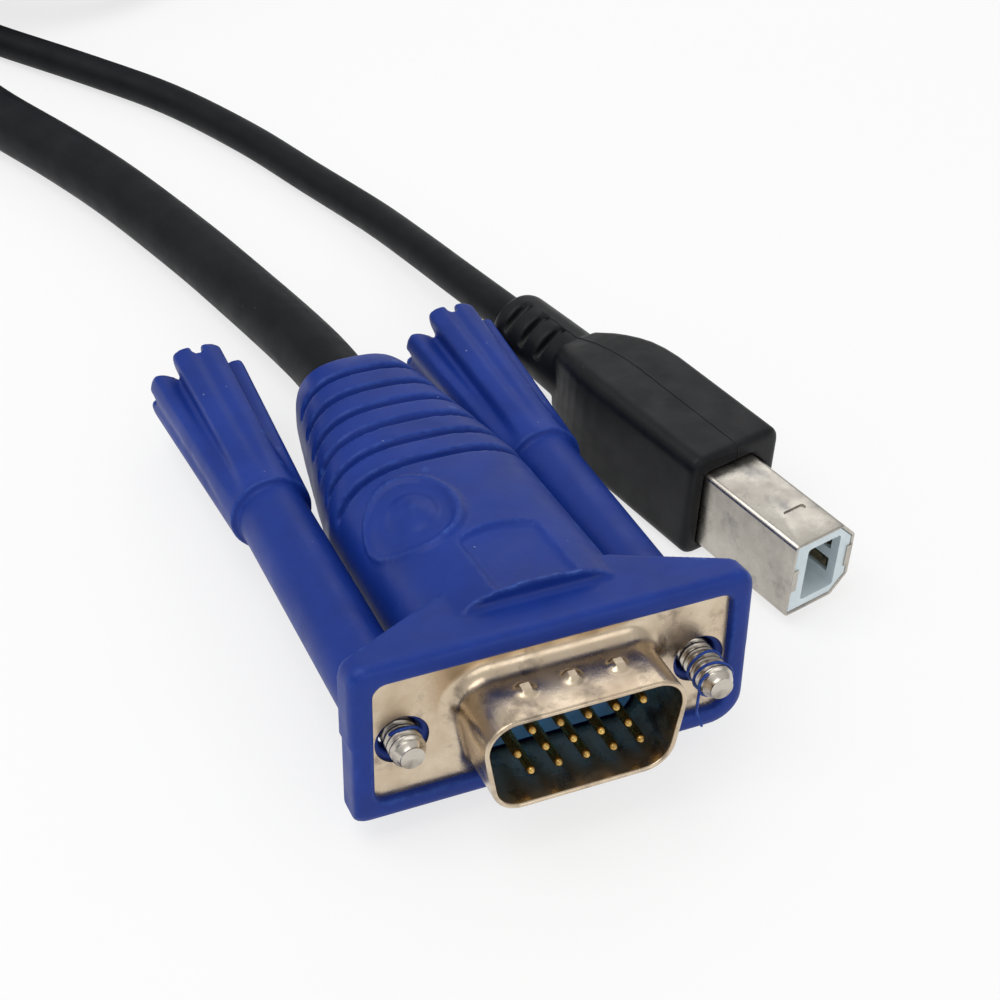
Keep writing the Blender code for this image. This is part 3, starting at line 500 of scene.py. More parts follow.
def makeEdgeHighlight():
    # painted highlight mask: 1 on outer edges, broken up by noise
    group, given, out = newGroup("edgeHighlight", [
        ("Vector", "NodeSocketVector", None), ("Low", "NodeSocketFloat", 0.53), ("High", "NodeSocketFloat", 0.6),
        ("Scale", "NodeSocketFloat", 900.0)], [("Mask", "NodeSocketFloat")])
    form = node(group, "ShaderNodeNewGeometry")
    span = node(group, "ShaderNodeMapRange")
    group.links.new(form.outputs["Pointiness"], span.inputs["Value"])
    group.links.new(given.outputs["Low"], span.inputs["From Min"])
    group.links.new(given.outputs["High"], span.inputs["From Max"])
    broken = between(group, noiseAt(group, given.outputs["Vector"], given.outputs["Scale"]), 0.35, 0.65)
    group.links.new(maths(group, "MULTIPLY", span.outputs["Result"], broken), out.inputs["Mask"])
    return group


def makeSpecks():
    # scattered grains of dust
    group, given, out = newGroup("dustSpecks", [
        ("Vector", "NodeSocketVector", None), ("Scale", "NodeSocketFloat", 900.0),
        ("Size", "NodeSocketFloat", 0.12), ("Share", "NodeSocketFloat", 0.6)], [("Mask", "NodeSocketFloat")])
    cells = node(group, "ShaderNodeTexVoronoi")
    group.links.new(given.outputs["Vector"], cells.inputs["Vector"])
    group.links.new(given.outputs["Scale"], cells.inputs["Scale"])
    near = maths(group, "LESS_THAN", cells.outputs["Distance"], given.outputs["Size"])
    channel = node(group, "ShaderNodeSeparateColor")
    group.links.new(cells.outputs["Color"], channel.inputs["Color"])
    chosen = maths(group, "GREATER_THAN", channel.outputs["Red"], given.outputs["Share"])
    patch = between(group, noiseAt(group, given.outputs["Vector"], 130.0, 2.0), 0.5, 0.62)
    both = maths(group, "MULTIPLY", maths(group, "MULTIPLY", near, chosen), patch)
    group.links.new(both, out.inputs["Mask"])
    return group


def makeSmudges():
    # broad uneven patches, for stains and for gloss that varies
    group, given, out = newGroup("smudges", [
        ("Vector", "NodeSocketVector", None), ("Scale", "NodeSocketFloat", 200.0),
        ("Low", "NodeSocketFloat", 0.45), ("High", "NodeSocketFloat", 0.62)], [("Mask", "NodeSocketFloat")])
    patch = noiseAt(group, given.outputs["Vector"], given.outputs["Scale"], 5.0, 0.62)
    span = node(group, "ShaderNodeMapRange")
    group.links.new(patch, span.inputs["Value"])
    group.links.new(given.outputs["Low"], span.inputs["From Min"])
    group.links.new(given.outputs["High"], span.inputs["From Max"])
    group.links.new(span.outputs["Result"], out.inputs["Mask"])
    return group


grain, edgeHighlight, specks, smudges = makeGrain(), makeEdgeHighlight(), makeSpecks(), makeSmudges()


def place(tree, group, **values):
    made = node(tree, "ShaderNodeGroup", node_tree=group)
    if "coords" in tree.nodes:
        tree.links.new(tree.nodes["coords"].outputs["Object"], made.inputs["Vector"])
    for label, value in values.items():
        made.inputs[label.replace("_", " ")].default_value = value
    return made


def newFinish(name, colour, roughness, metallic=0.0, **extra):
    finish = bpy.data.materials.new(name)
    finish.use_nodes = True
    tree = finish.node_tree
    coords = node(tree, "ShaderNodeTexCoord")
    coords.name = "coords"
    shader = tree.nodes["Principled BSDF"]
    shader.inputs["Base Color"].default_value = (*colour, 1)
    shader.inputs["Roughness"].default_value = roughness
    shader.inputs["Metallic"].default_value = metallic
    for label, value in extra.items():
        shader.inputs[label.replace("_", " ")].default_value = value
    finish.diffuse_color = (*colour, 1)
    return finish, tree, shader, coords.outputs["Object"]


# edge is a painted highlight colour, laid on the outer edges of the blue plastic
blueLook = {"deep": (0.006, 0.028, 0.21), "body": (0.009, 0.038, 0.275), "edge": (0.05, 0.13, 0.46),
            "dust": (0.45, 0.5, 0.62), "gloss": (0.36, 0.5)}


def makeBlue():
    finish, tree, shader, here = newFinish("bluePlastic", blueLook["body"], 0.42, Specular_IOR_Level=0.22)
    patch = place(tree, smudges, Scale=140.0, Low=0.35, High=0.7)
    colour = blendColour(tree, patch.outputs["Mask"], blueLook["deep"], blueLook["body"])
    # painted highlight: a lighter blue laid on outer edges, where they catch the light
    edge = place(tree, edgeHighlight, Low=0.515, High=0.56, Scale=1200.0)
    colour = blendColour(tree, maths(tree, "MULTIPLY", edge.outputs["Mask"], 0.5), colour, blueLook["edge"])
    dust = place(tree, specks, Scale=1300.0, Size=0.11, Share=0.93)
    colour = blendColour(tree, maths(tree, "MULTIPLY", dust.outputs["Mask"], 0.5), colour, blueLook["dust"])
    tree.links.new(colour, shader.inputs["Base Color"])
    skin = place(tree, grain, Fine_Scale=2600.0, Fine_Depth=0.000012, Wave_Scale=170.0, Wave_Depth=0.00004)
    tree.links.new(skin.outputs["Normal"], shader.inputs["Normal"])
    gloss = between(tree, noiseAt(tree, here, 300.0), 0.3, 0.7, *blueLook["gloss"])
    tree.links.new(gloss, shader.inputs["Roughness"])
    return finish


plateLook = {"clean": (0.68, 0.57, 0.43), "warm": (0.55, 0.43, 0.3), "stain": (0.15, 0.12, 0.1), "stained": 0.75}
sleeveLook = {"clean": (0.54, 0.51, 0.45), "warm": (0.4, 0.37, 0.33), "stain": (0.14, 0.14, 0.16), "stained": 0.6}
screwLook = {"clean": (0.6, 0.56, 0.5), "warm": (0.48, 0.43, 0.36), "stain": (0.16, 0.14, 0.12), "stained": 0.7}


def makeSteel(name, look, stainLow, stainHigh, fine=0.000006, wave=0.00003):
    finish, tree, shader, here = newFinish(name, look["clean"], 0.28, 1.0)
    patch = place(tree, smudges, Scale=210.0, Low=0.35, High=0.7)
    colour = blendColour(tree, patch.outputs["Mask"], look["clean"], look["warm"])
    stain = place(tree, smudges, Scale=330.0, Low=stainLow, High=stainHigh)
    colour = blendColour(tree, maths(tree, "MULTIPLY", stain.outputs["Mask"], look["stained"]), colour, look["stain"])
    tree.links.new(colour, shader.inputs["Base Color"])
    skin = place(tree, grain, Fine_Scale=3200.0, Fine_Depth=fine, Wave_Scale=210.0, Wave_Depth=wave)
    tree.links.new(skin.outputs["Normal"], shader.inputs["Normal"])
    gloss = between(tree, noiseAt(tree, here, 420.0, 4.0), 0.3, 0.7, 0.2, 0.38)
    tree.links.new(gloss, shader.inputs["Roughness"])
    return finish


def makeGold(name, bright, dull):
    finish, tree, shader, here = newFinish(name, bright, 0.24, 1.0)
    patch = place(tree, smudges, Scale=1500.0, Low=0.4, High=0.65)
    colour = blendColour(tree, patch.outputs["Mask"], bright, dull)
    tree.links.new(colour, shader.inputs["Base Color"])
    gloss = between(tree, noiseAt(tree, here, 1500.0), 0.3, 0.7, 0.16, 0.34)
    tree.links.new(gloss, shader.inputs["Roughness"])
    return finish


def makePlain(name, low, high, roughness, fine=0.000008, wave=0.00002, dusty=0.0, edgeTone=None, dustTone=None,
              shine=0.5):
    # moulded plastic of one colour that varies a little from low to high, with a painted highlight on outer edges
    # when edgeTone is given
    finish, tree, shader, here = newFinish(name, high, roughness, Specular_IOR_Level=shine)
    patch = place(tree, smudges, Scale=260.0, Low=0.3, High=0.7)
    colour = blendColour(tree, patch.outputs["Mask"], low, high)
    # painted highlight: edgeTone laid on outer edges
    if edgeTone:
        edge = place(tree, edgeHighlight, Low=0.515, High=0.57, Scale=1100.0)
        colour = blendColour(tree, maths(tree, "MULTIPLY", edge.outputs["Mask"], 0.5), colour, edgeTone)
    if dusty:
        dust = place(tree, specks, Scale=1300.0, Size=0.11, Share=1 - dusty)
        colour = blendColour(tree, maths(tree, "MULTIPLY", dust.outputs["Mask"], 0.5), colour, dustTone)
    tree.links.new(colour, shader.inputs["Base Color"])
    skin = place(tree, grain, Fine_Scale=2200.0, Fine_Depth=fine, Wave_Scale=190.0, Wave_Depth=wave)
    tree.links.new(skin.outputs["Normal"], shader.inputs["Normal"])
    gloss = between(tree, noiseAt(tree, here, 380.0), 0.3, 0.7, roughness - 0.07, roughness + 0.07)
    tree.links.new(gloss, shader.inputs["Roughness"])
    return finish


bluePlastic = makeBlue()
plateSteel = makeSteel("plateSteel", plateLook, 0.54, 0.7)
usbSteel = makeSteel("usbSteel", sleeveLook, 0.54, 0.72)
screwSteel = makeSteel("screwSteel", screwLook, 0.5, 0.66, 0.000004, 0.00001)
goldContact = makeGold("goldContact", (0.7, 0.47, 0.15), (0.33, 0.2, 0.06))
dullContact = makeGold("dullContact", (0.3, 0.22, 0.12), (0.1, 0.08, 0.06))
blueCore = makePlain("blueCore", (0.012, 0.1, 0.26), (0.02, 0.16, 0.38), 0.36)
whiteNylon = makePlain("whiteNylon", (0.6, 0.7, 0.74), (0.74, 0.83, 0.86), 0.4)
# the black mould gets a painted highlight on its outer edges from its edge tone (0.03, 0.03, 0.032)
blackMould = makePlain("blackMould", (0.006, 0.0065, 0.008), (0.013, 0.0135, 0.015), 0.42, 0.00001, 0.00004, 0.06,
                       (0.03, 0.03, 0.032), (0.16, 0.16, 0.16), 0.16)
cordJacket = makePlain("cordJacket", (0.006, 0.007, 0.009), (0.012, 0.013, 0.015), 0.5, 0.000014, 0.00005, 0.04,
                       None, (0.08, 0.08, 0.09), 0.13)
tieBand = makePlain("tieBand", (0.02, 0.02, 0.022), (0.05, 0.05, 0.055), 0.75, 0.00006, 0.00002)
print("finishes made")

videoCord, videoLine = makeCord("video_cord", cords["video"], cordJacket)
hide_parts("video_lead", "video_coil", "video_lead_far")
usbCord, usbLine = makeCord("usb_cord", cords["usb"], cordJacket)
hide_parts("usb_lead", "usb_coil", "usb_lead_far")


# Video plug: hood

hood = {
    "half": 16.75, "top": 7.9, "bottom": 7.1, "corners": (1.0, 2.7, 1.5, 1.5), "front": -0.7, "edge": 2.0,
    "back": 6.4, "fall": 0.5, "ease": 0.8, "narrow": 8.19, "windowHalf": 14.9, "windowTop": 6.2,
    "windowBottom": 5.3, "windowCorner": 1.1, "windowFloor": 0.35, "step": 0.16, "stepAt": 0.5,
    "bodyFront": 3.4, "bodyBack": 46.0, "bodyHalf": 9.1, "bodyHeight": 9.05, "taper": 0.0798, "power": 2.8,
    "plan": [(26, 1.0), (28, 0.96), (33, 0.87), (36.5, 0.8), (40, 0.73), (46, 0.6)],
    "ribFirst": 24.4, "ribPitch": 3.45, "ribs": 6, "ribWidth": 0.72, "ribDepth": 0.85,
    "labelWidth": 6.8, "labelLength": 7.6, "labelDepth": 0.5, "labelY": 7.8,
    "badge": (-4.9, 17.2), "badgeRadii": (3.6, 4.9), "badgeWire": 0.46, "dome": (2.0, 2.6, 0.8),
    "neckHole": 3.25, "neckSeat": 2.0, "screwHole": 1.7, "spacing": 24.99, "bore": 3.25, "voxel": 0.25,
}


def bodyHalf(y):
    width = hood["bodyHalf"]
    for (y0, share0), (y1, share1) in zip(hood["plan"], hood["plan"][1:]):
        if y > y0:
            width = hood["bodyHalf"] * (share0 + (share1 - share0) * min((y - y0) / (y1 - y0), 1))
    height = hood["bodyHeight"] - hood["taper"] * (y - hood["bodyFront"])
    tail = max(y - (hood["bodyBack"] - 4), 0) / 4
    return width, height - 0.75 * tail ** 2


def bodyTop(x, y):
    width, height = bodyHalf(y)
    return height * max(1 - abs(x / width) ** hood["power"], 0) ** (1 / hood["power"])


def bodySection(y, sides=120):
    width, height = bodyHalf(y)
    inset = max(y - (hood["bodyBack"] - 0.8), 0)
    inset = 0.8 - math.sqrt(max(0.64 - inset ** 2, 0))
    width, height = width - inset, height - inset
    groove = 0.0
    for k in range(hood["ribs"]):
        away = abs(y - hood["ribFirst"] - k * hood["ribPitch"])
        groove = max(groove, hood["ribDepth"] * (1 - ramp(hood["ribWidth"] / 2 - 0.12, hood["ribWidth"] / 2 + 0.2, away)))
    out = []
    for k in range(sides):
        a = (k + 0.5) * 2 * math.pi / sides
        c, s = math.cos(a), math.sin(a)
        x = width * math.copysign(abs(c) ** (2 / hood["power"]), c)
        z = math.copysign(abs(s) ** (2 / hood["power"]), s)
        sink = groove * ramp(0.3, 0.5, abs(z))
        out.append((x * (1 - 0.5 * sink / width), z * height - math.copysign(sink, z)))
    return out


def makeHoodMesh():
    stations = [hood["bodyFront"]]
    while stations[-1] < hood["bodyBack"] - 0.2:
        fine = stations[-1] > hood["ribFirst"] - 1.2
        stations.append(stations[-1] + (0.16 if fine else 0.8))
    stations += [hood["bodyBack"] - 0.05, hood["bodyBack"]]
    ob = toObject(loft([across(bodySection(y), y) for y in stations]), "hood")
    ease, front, half = hood["ease"], hood["front"], hood["half"]
    rings = []
    for k in range(6):
        a = math.pi / 2 * k / 5
        inset = ease * (1 - math.sin(a))
        outline = box4(half - inset, hood["top"] - inset, hood["bottom"] - inset, hood["corners"])
        rings.append(across(outline, front + ease * (1 - math.cos(a))))
    rings.append(across(box4(half, hood["top"] - 0.5 * hood["fall"], hood["bottom"], hood["corners"]), hood["edge"]))
    rings.append(across(box4(hood["narrow"], hood["top"] - hood["fall"], hood["bottom"], hood["corners"]), hood["back"]))
    join(ob, loft(rings))
    for side in (-1, 1):
        outer = side * (half + 2)
        low, high = sorted((side * (half - hood["step"]), outer))
        cut(ob, block((low, -3, -hood["bottom"] - 1), (high, hood["back"], hood["stepAt"])))
    window = box4(hood["windowHalf"], hood["windowTop"], hood["windowBottom"], hood["windowCorner"])
    cut(ob, flatSheet([window], front - 1, hood["windowFloor"]))
    cut(ob, flatSheet([dShape(0.25)], -1, 8.2))
    for side in (-1, 1):
        x = side * hood["spacing"] / 2
        cut(ob, bar(hood["screwHole"], -1, 2 * hood["neckSeat"], 32, (x, 0)))
        cut(ob, bar(hood["neckHole"], hood["neckSeat"], hood["back"] + 2, 48, (x, 0)))
    addBadge(ob)
    cutLabel(ob)
    soften(ob, hood["voxel"], 1)
    cut(ob, bar(hood["bore"], hood["bodyBack"] - 3, hood["bodyBack"] + 1, 40))
    return finishMesh(ob, 50)


def addBadge(ob):
    # a plain raised oval with a low dome in it, bent over the crown
    x0, y0 = hood["badge"]
    rings = [[] for _ in range(10)]
    for k in range(56):
        a = 2 * math.pi * k / 56
        x, y = x0 + hood["badgeRadii"][0] * math.cos(a), y0 + hood["badgeRadii"][1] * math.sin(a)
        out = Vector((math.cos(a), math.sin(a), 0))
        size = hood["badgeWire"] * (0.85 + 0.3 * math.cos(a))
        for j, line in enumerate(rings):
            t = 2 * math.pi * j / len(rings)
            line.append(Vector((x, y, bodyTop(x, y))) + out * size * math.cos(t) + Vector((0, 0, size * math.sin(t))))
    join(ob, loft(rings, closed=True))
    dome = bmesh.new()
    bmesh.ops.create_uvsphere(dome, u_segments=40, v_segments=19, radius=1)
    for v in dome.verts:
        centre = max(1 - math.hypot(v.co.x, v.co.y) / 0.45, 0)
        v.co = Vector((v.co.x * hood["dome"][0], v.co.y * hood["dome"][1], v.co.z * 0.62 * hood["dome"][2]))
        v.co.z += bodyTop(v.co.x + x0, v.co.y + y0) + 0.3 * centre
    dome.transform(Matrix.Translation((x0, y0, 0)))
    join(ob, dome)


def cutLabel(ob):
    # a shallow bare recess with its back edge bowed
    w, l = hood["labelWidth"] / 2, hood["labelLength"] / 2
    bowed = [(-w + 2 * w * k / 8, l + (1 - (k / 4 - 1) ** 2) * l / 4) for k in range(9)]
    slab = flatSheet([[(-w, -l), (w, -l), *reversed(bowed)]], 0, 3)
    slab.transform(Matrix.Rotation(-math.pi / 2, 4, "X"))
    y = hood["labelY"]
    slope = Matrix.Rotation(-math.atan(hood["taper"]), 4, "X")
    slab.transform(Matrix.Translation((0, y, bodyTop(0, y) - hood["labelDepth"] + 3)) @ slope)
    cut(ob, slab)


# Video plug: steel shell with its plate, insulator and pins

shell = {
    "width": 17.6, "height": 8.7, "corner": 2.6, "slant": 10.0, "reach": 6.05, "wall": 0.42, "flare": 1.35,
    "plateWidth": 30.81, "plateHeight": 12.55, "plateCorner": 1.5, "plateThick": 0.5, "hole": 2.2,
    "dimplePitch": 3.8, "dimpleY": -3.0, "dimpleBase": 1.05, "dimpleHalf": 0.46,
}


def dShape(grow, segments=10):
    slant = math.radians(shell["slant"])
    top = shell["width"] / 2 + grow * (math.tan(slant) + 1 / math.cos(slant))
    h = shell["height"] / 2 + grow
    foot = top - 2 * h * math.tan(slant)
    return rounded([(-foot, -h), (foot, -h), (top, h), (-top, h)], shell["corner"] + grow, segments)


def dimple(x, y):
    # height of the three pressed bumps: a low round swell with a squarer tab standing on it
    best = 0.0
    for k in (-1, 0, 1):
        u, v = x - k * shell["dimplePitch"], y - shell["dimpleY"]
        away = math.hypot(u, v)
        swell = 0.17 * (1 - ramp(0.5 * shell["dimpleBase"], shell["dimpleBase"], away))
        tab = 1 - ramp(shell["dimpleHalf"] - 0.1, shell["dimpleHalf"] + 0.08, max(abs(u), abs(v)))
        best = max(best, swell + tab * (0.26 + 0.16 * v))
    return best


def makeShellMesh():
    base = even(dShape(0), 0.15)
    count = len(base)
    stations = [(0.3, shell["flare"]), (-0.004, shell["flare"])]
    for k in range(1, 10):
        a = math.pi / 2 * k / 10
        stations.append((-shell["flare"] * (1 - math.cos(a)), shell["flare"] * (1 - math.sin(a))))
    steps = 34
    start, mouth = -shell["flare"], 0.21 - shell["reach"]
    stations += [(start + (mouth - start) * k / steps, 0) for k in range(steps + 1)]
    rim = shell["wall"] / 2
    for k in range(1, 7):
        a = math.pi * k / 6
        stations.append((mouth - rim * math.sin(a), -rim * (1 - math.cos(a))))
    stations += [(-3, -shell["wall"]), (0.3, -shell["wall"])]
    centre = Vector((0, 0))
    rings = []
    for y, grow in stations:
        line = []
        for k in range(count):
            p = Vector(base[k])
            ahead, behind = Vector(base[(k + 1) % count]), Vector(base[k - 1])
            along = (ahead - behind).normalized()
            out = Vector((along.y, -along.x))
            if out.dot(p - centre) < 0:
                out = -out
            lift = dimple(p.x, y) if grow == 0 and p.y > shell["height"] / 2 - 0.02 else 0
            q = p + out * (grow + lift)
            line.append(Vector((q.x, y, q.y)))
        rings.append(line)
    ob = toObject(loft(rings, closed=True), "shell")
    edge = rectangle(shell["plateWidth"], shell["plateHeight"], shell["plateCorner"])
    holes = [circle(shell["hole"], side * hood["spacing"] / 2) for side in (-1, 1)]
    join(ob, flatSheet([edge, dShape(shell["flare"] / 3), *holes], 0, shell["plateThick"]))
    return finishMesh(ob, 38)


def makeCoreMesh():
    rings = [across(dShape(grow), y) for y, grow in ((8, -0.72), (0.35, -0.72), (0.1, -0.95))]
    ob = toObject(loft(rings), "core")
    return finishMesh(ob, 30)


pins = {"radius": 0.38, "pitch": 2.29, "row": 1.98, "reach": 5.1, "tail": 1.0}


def pinPlaces():
    out = []
    for z, shift in ((pins["row"], 0.25), (0, -0.25), (-pins["row"], 0.25)):
        out += [((k - 2 + shift) * pins["pitch"], z) for k in range(5)]
    return out


def makePinsMesh():
    # fifteen round contacts with bullet tips
    whole = bmesh.new()
    r, tip = pins["radius"], 0.62
    profile = [(r, pins["tail"]), (r, tip - pins["reach"])]
    for k in range(1, 6):
        a = math.pi / 2 * k / 6
        profile.append((r * math.cos(a), tip * (1 - math.sin(a)) - pins["reach"]))
    for x, z in pinPlaces():
        rings = [across([(x + u, z + w) for u, w in circle(radius, 0, 18)], y) for radius, y in profile]
        one = bpy.data.meshes.new("one")
        bm = loft(rings)
        bmesh.ops.recalc_face_normals(bm, faces=bm.faces)
        bm.to_mesh(one)
        bm.free()
        whole.from_mesh(one)
        bpy.data.meshes.remove(one)
    return finishMesh(toObject(whole, "pins"), 60)


# Thumbscrews

screw = {"radius": 1.42, "root": 1.12, "pitch": 0.635, "thread": 9.0, "length": 12.0, "tip": 0.45, "sides": 28}
grip = {"neck": 3.05, "start": 6.3, "collarAt": 33.5, "collar": 3.66, "head": 4.8, "end": 56.3, "flute": 1.9,
        "groove": 0.3, "sides": 160, "voxel": 0.2, "notch": 1.0, "notchDepth": 1.5}
screwOut = {"left": 2.3, "right": 4.0}


def makeScrewMesh():
    rings = []
    steps = round(screw["thread"] / screw["pitch"] * 10)
    depth = screw["radius"] - screw["root"]
    for i in range(steps + 1):
        y = screw["thread"] * i / steps
        line = []
        for k in range(screw["sides"]):
            a = 2 * math.pi * k / screw["sides"]
            phase = (y / screw["pitch"] - k / screw["sides"]) % 1
            ridge = 1 - ramp(0.08, 0.42, abs(phase - 0.5))
            fade = 1 - ramp(screw["thread"] - 0.8, screw["thread"], y)
            r = screw["root"] + depth * ridge * fade
            r = min(r, screw["radius"] - screw["tip"] * (1 - ramp(0, 0.9, y)))
            line.append(Vector((r * math.cos(a), y, r * math.sin(a))))
        rings.append(line)
    rings.append(across(circle(screw["root"], 0, screw["sides"]), screw["length"]))
    return finishMesh(toObject(loft(rings), "screw"), 40)


def gripRadius(angle, share, base):
    # four broad arms, each with a shallow groove along its middle and a deep valley beside it
    local = (math.degrees(angle) + 45) % 90 - 45
    t = abs(local) / 45
    valley = ramp(0.6, 1.0, t) * grip["flute"] * share ** 0.8
    groove = grip["groove"] * math.exp(-(local / 8) ** 2) * min(share * 3, 1)
    return base - valley - groove


def makeGripMesh():
    turns = [2 * math.pi * k / grip["sides"] for k in range(grip["sides"])]
    rings = []
    for y, inset in ((grip["start"], 0.3), (grip["start"] + 0.3, 0), (grip["collarAt"], 0)):
        rings.append([Vector(((grip["neck"] - inset) * math.cos(a), y, (grip["neck"] - inset) * math.sin(a)))
                      for a in turns])
    length = grip["end"] - grip["collarAt"]
    steps = 44
    for i in range(steps + 1):
        share = i / steps
        line = []
        for a in turns:
            t = abs((math.degrees(a) + 45) % 90 - 45) / 45
            corner = min(max((t - 0.42) / 0.5, 0), 1)
            end = length - 1.5 * (1 - math.sqrt(1 - 0.98 * corner ** 2))
            y = grip["collarAt"] + end * share
            base = grip["collar"] + (grip["head"] - grip["collar"]) * share
            back = length * (1 - share)
            if back < 0.7:
                base -= 0.7 - math.sqrt(max(0.49 - (0.7 - back) ** 2, 0))
            r = gripRadius(a, share, base)
            line.append(Vector((r * math.cos(a), y, r * math.sin(a))))
        rings.append(line)
    for radius, y in ((2.4, grip["end"] - 1.4), (1.0, grip["end"] - 1.9)):
        rings.append([Vector((radius * math.cos(a), y, radius * math.sin(a))) for a in turns])
    ob = toObject(loft(rings), "grip")
    notches = bmesh.new()
    for k in range(4):
        one = flatSheet([rectangle(grip["notch"], 2 * grip["notchDepth"], 0.49 * grip["notch"], 6)], 2.2, 7)
        one.transform(Matrix.Rotation(math.radians(90 * k), 4, "Y") @ Matrix.Translation((0, grip["end"], 0))
                      @ Matrix.Rotation(math.radians(90), 4, "X"))
        mesh = bpy.data.meshes.new("one")
        one.to_mesh(mesh)
        one.free()
        notches.from_mesh(mesh)
        bpy.data.meshes.remove(mesh)
    cut(ob, notches)
    cut(ob, bar(screw["radius"] + 0.15, 0, 14, 24))
    soften(ob, grip["voxel"], 2)
    return finishMesh(ob)


# USB plugs

square = {"width": 7.26, "height": 8.0, "bevel": 1.75, "out": 11.8, "wall": 0.32, "buried": 15.8,
          "cavity": (3.85, 5.7), "cavityDepth": 9.0, "tab": (2.3, 0.75), "mark": (2.4, 0.6), "markAt": (-0.3, 3.9)}
squareMould = {"half": 5.1, "top": 5.8, "bottom": 5.1, "corner": 1.3, "front": 11.8, "back": 34.5, "rise": 0.4,
               "squash": 1.0}
flat = {"width": 12.0, "height": 4.5, "out": 12.0, "wall": 0.3, "buried": 16.0}
flatMould = {"half": 7.8, "top": 4.0, "bottom": 4.0, "corner": 1.6, "front": 12.0, "back": 31.0, "rise": 0.0,
             "squash": 0.8}
relief = {"radius": 3.5, "length": 9.8, "slots": 3, "slotHigh": 4.0, "slotLong": 0.9, "pitch": 2.6, "depth": 1.0,
          "turn": 53, "end": 2.3, "bore": 1.95}


def squareOutline(grow=0.0, radius=0.45):
    w, h = square["width"] / 2 + grow, square["height"] / 2 + grow
    b = square["bevel"] + grow * (2 - math.sqrt(2))
    corners = [(-w, -h), (w - b, -h), (w, -h + b), (w, h - b), (w - b, h), (-w, h)]
    return rounded(corners, max(radius + grow, 0.08), 5)


def makeTubeMesh(outlineAt, wall, buried, name):
    # a folded steel tube with an eased mouth
    rim = wall / 2
    stations = [(buried, 0), (rim, 0)]
    for k in range(1, 7):
        a = math.pi * k / 6
        stations.append((rim - rim * math.sin(a), -rim * (1 - math.cos(a))))
    stations += [(buried, -wall)]
    return toObject(loft([across(outlineAt(grow), y) for y, grow in stations], closed=True), name)


def makeSquareShellMesh():
    ob = makeTubeMesh(squareOutline, square["wall"], square["buried"], "squareShell")
    x, y = square["markAt"]
    w, l = square["mark"]
    top = square["height"] / 2
    lozenge = flatSheet([rectangle(w, l, 0.29, 6)], 0, 1)
    lozenge.transform(Matrix.Translation((x, y, top + 0.84)) @ Matrix.Rotation(-math.pi / 2, 4, "X"))
    cut(ob, lozenge)
    high, deep = square["tab"]
    for side in (-1, 1):
        edge = side * square["width"] / 2
        low, far = sorted((edge - side * 0.12, edge - side * deep))
        join(ob, block((low, -0.02, -high / 2), (far, 0.24, high / 2)))
    return finishMesh(ob, 35)


def makeSquareCoreMesh():
    ob = toObject(flatSheet([squareOutline(-square["wall"] - 0.03, 0.3)], 0.12, 14.8, 0.08), "squareCore")
    cut(ob, flatSheet([rectangle(*square["cavity"], 0.35, 4)], -1, square["cavityDepth"]))
    for side in (-1, 1):
        for z in (-1.25, 1.25):
            wallAt = side * square["cavity"][0] / 2
            low, high = sorted((wallAt - side * 0.2, wallAt + side * 0.7))
            cut(ob, block((low, 1, z - 0.75), (high, square["cavityDepth"] + 1, z + 0.75)))
    return finishMesh(ob, 35)


def makeFlatShellMesh():
    def outline(grow):
        return rectangle(flat["width"] + 2 * grow, flat["height"] + 2 * grow, max(0.5 + grow, 0.15), 5)
    ob = makeTubeMesh(outline, flat["wall"], flat["buried"], "flatShell")
    for x in (-3.3, 3.3):
        for z in (-1, 1):
            window = block((x - 1.25, 5.2, z * 1.7), (x + 1.25, 7.4, z * 3.0))
            cut(ob, window)
    return finishMesh(ob, 35)


def mouldRings(sizes):
    length = sizes["back"] - sizes["front"]
    ease = 0.6
    stations = []
    for k in range(5):
        a = math.pi / 2 * k / 4
        stations.append((sizes["front"] + ease * (1 - math.cos(a)), ease * (1 - math.sin(a)), 0))
    for share, sink in ((0.3, 0), (0.6, 0), (0.68, 0.02), (0.75, 0.06), (0.81, 0.12), (0.87, 0.2), (0.92, 0.28),
                        (0.96, 0.36), (1, 0.44)):
        stations.append((sizes["front"] + share * length, 0, sink))
    rings = []
    for y, inset, sink in stations:
        reach = [sizes["half"] * (1 - sink), sizes["top"] * (1 - 0.7 * sink), sizes["bottom"] * (1 - 0.7 * sink)]
        rings.append(across(box4(*[value - inset for value in reach], sizes["corner"]), y))
    return rings


def makeMouldMesh(sizes, pocket, name):
    ob = toObject(loft(mouldRings(sizes)), name)
    rings = []
    for share, scale in ((-0.2, 1.0), (0, 1.0), (0.45, 0.97), (0.9, 0.93), (0.95, 0.9), (0.985, 0.84), (1, 0.77)):
        y = sizes["back"] + share * relief["length"]
        rings.append([Vector((x, y, sizes["rise"] + sizes["squash"] * z))
                      for x, z in circle(scale * relief["radius"], 0, 56)])
    join(ob, loft(rings))
    end = sizes["back"] + relief["length"]
    for side in (-1, 1):
        for k in range(relief["slots"]):
            y = end - relief["end"] - k * relief["pitch"]
            outline = rectangle(2 * relief["depth"], relief["slotHigh"], 0.3, 3)
            slot = flatSheet([outline], -relief["slotLong"] / 2, relief["slotLong"] / 2)
            slot.transform(Matrix.Translation((0, y, sizes["rise"]))
                           @ Matrix.Rotation(math.radians(relief["turn"]), 4, "Y")
                           @ Matrix.Translation((side * relief["radius"], 0, 0)))
            cut(ob, slot)
    cut(ob, pocket)
    cut(ob, bar(relief["bore"], end - 3, end + 1, 32, (0, sizes["rise"])))
    soften(ob, 0.19, 2)
    addSeam(ob, sizes)
    return finishMesh(ob)


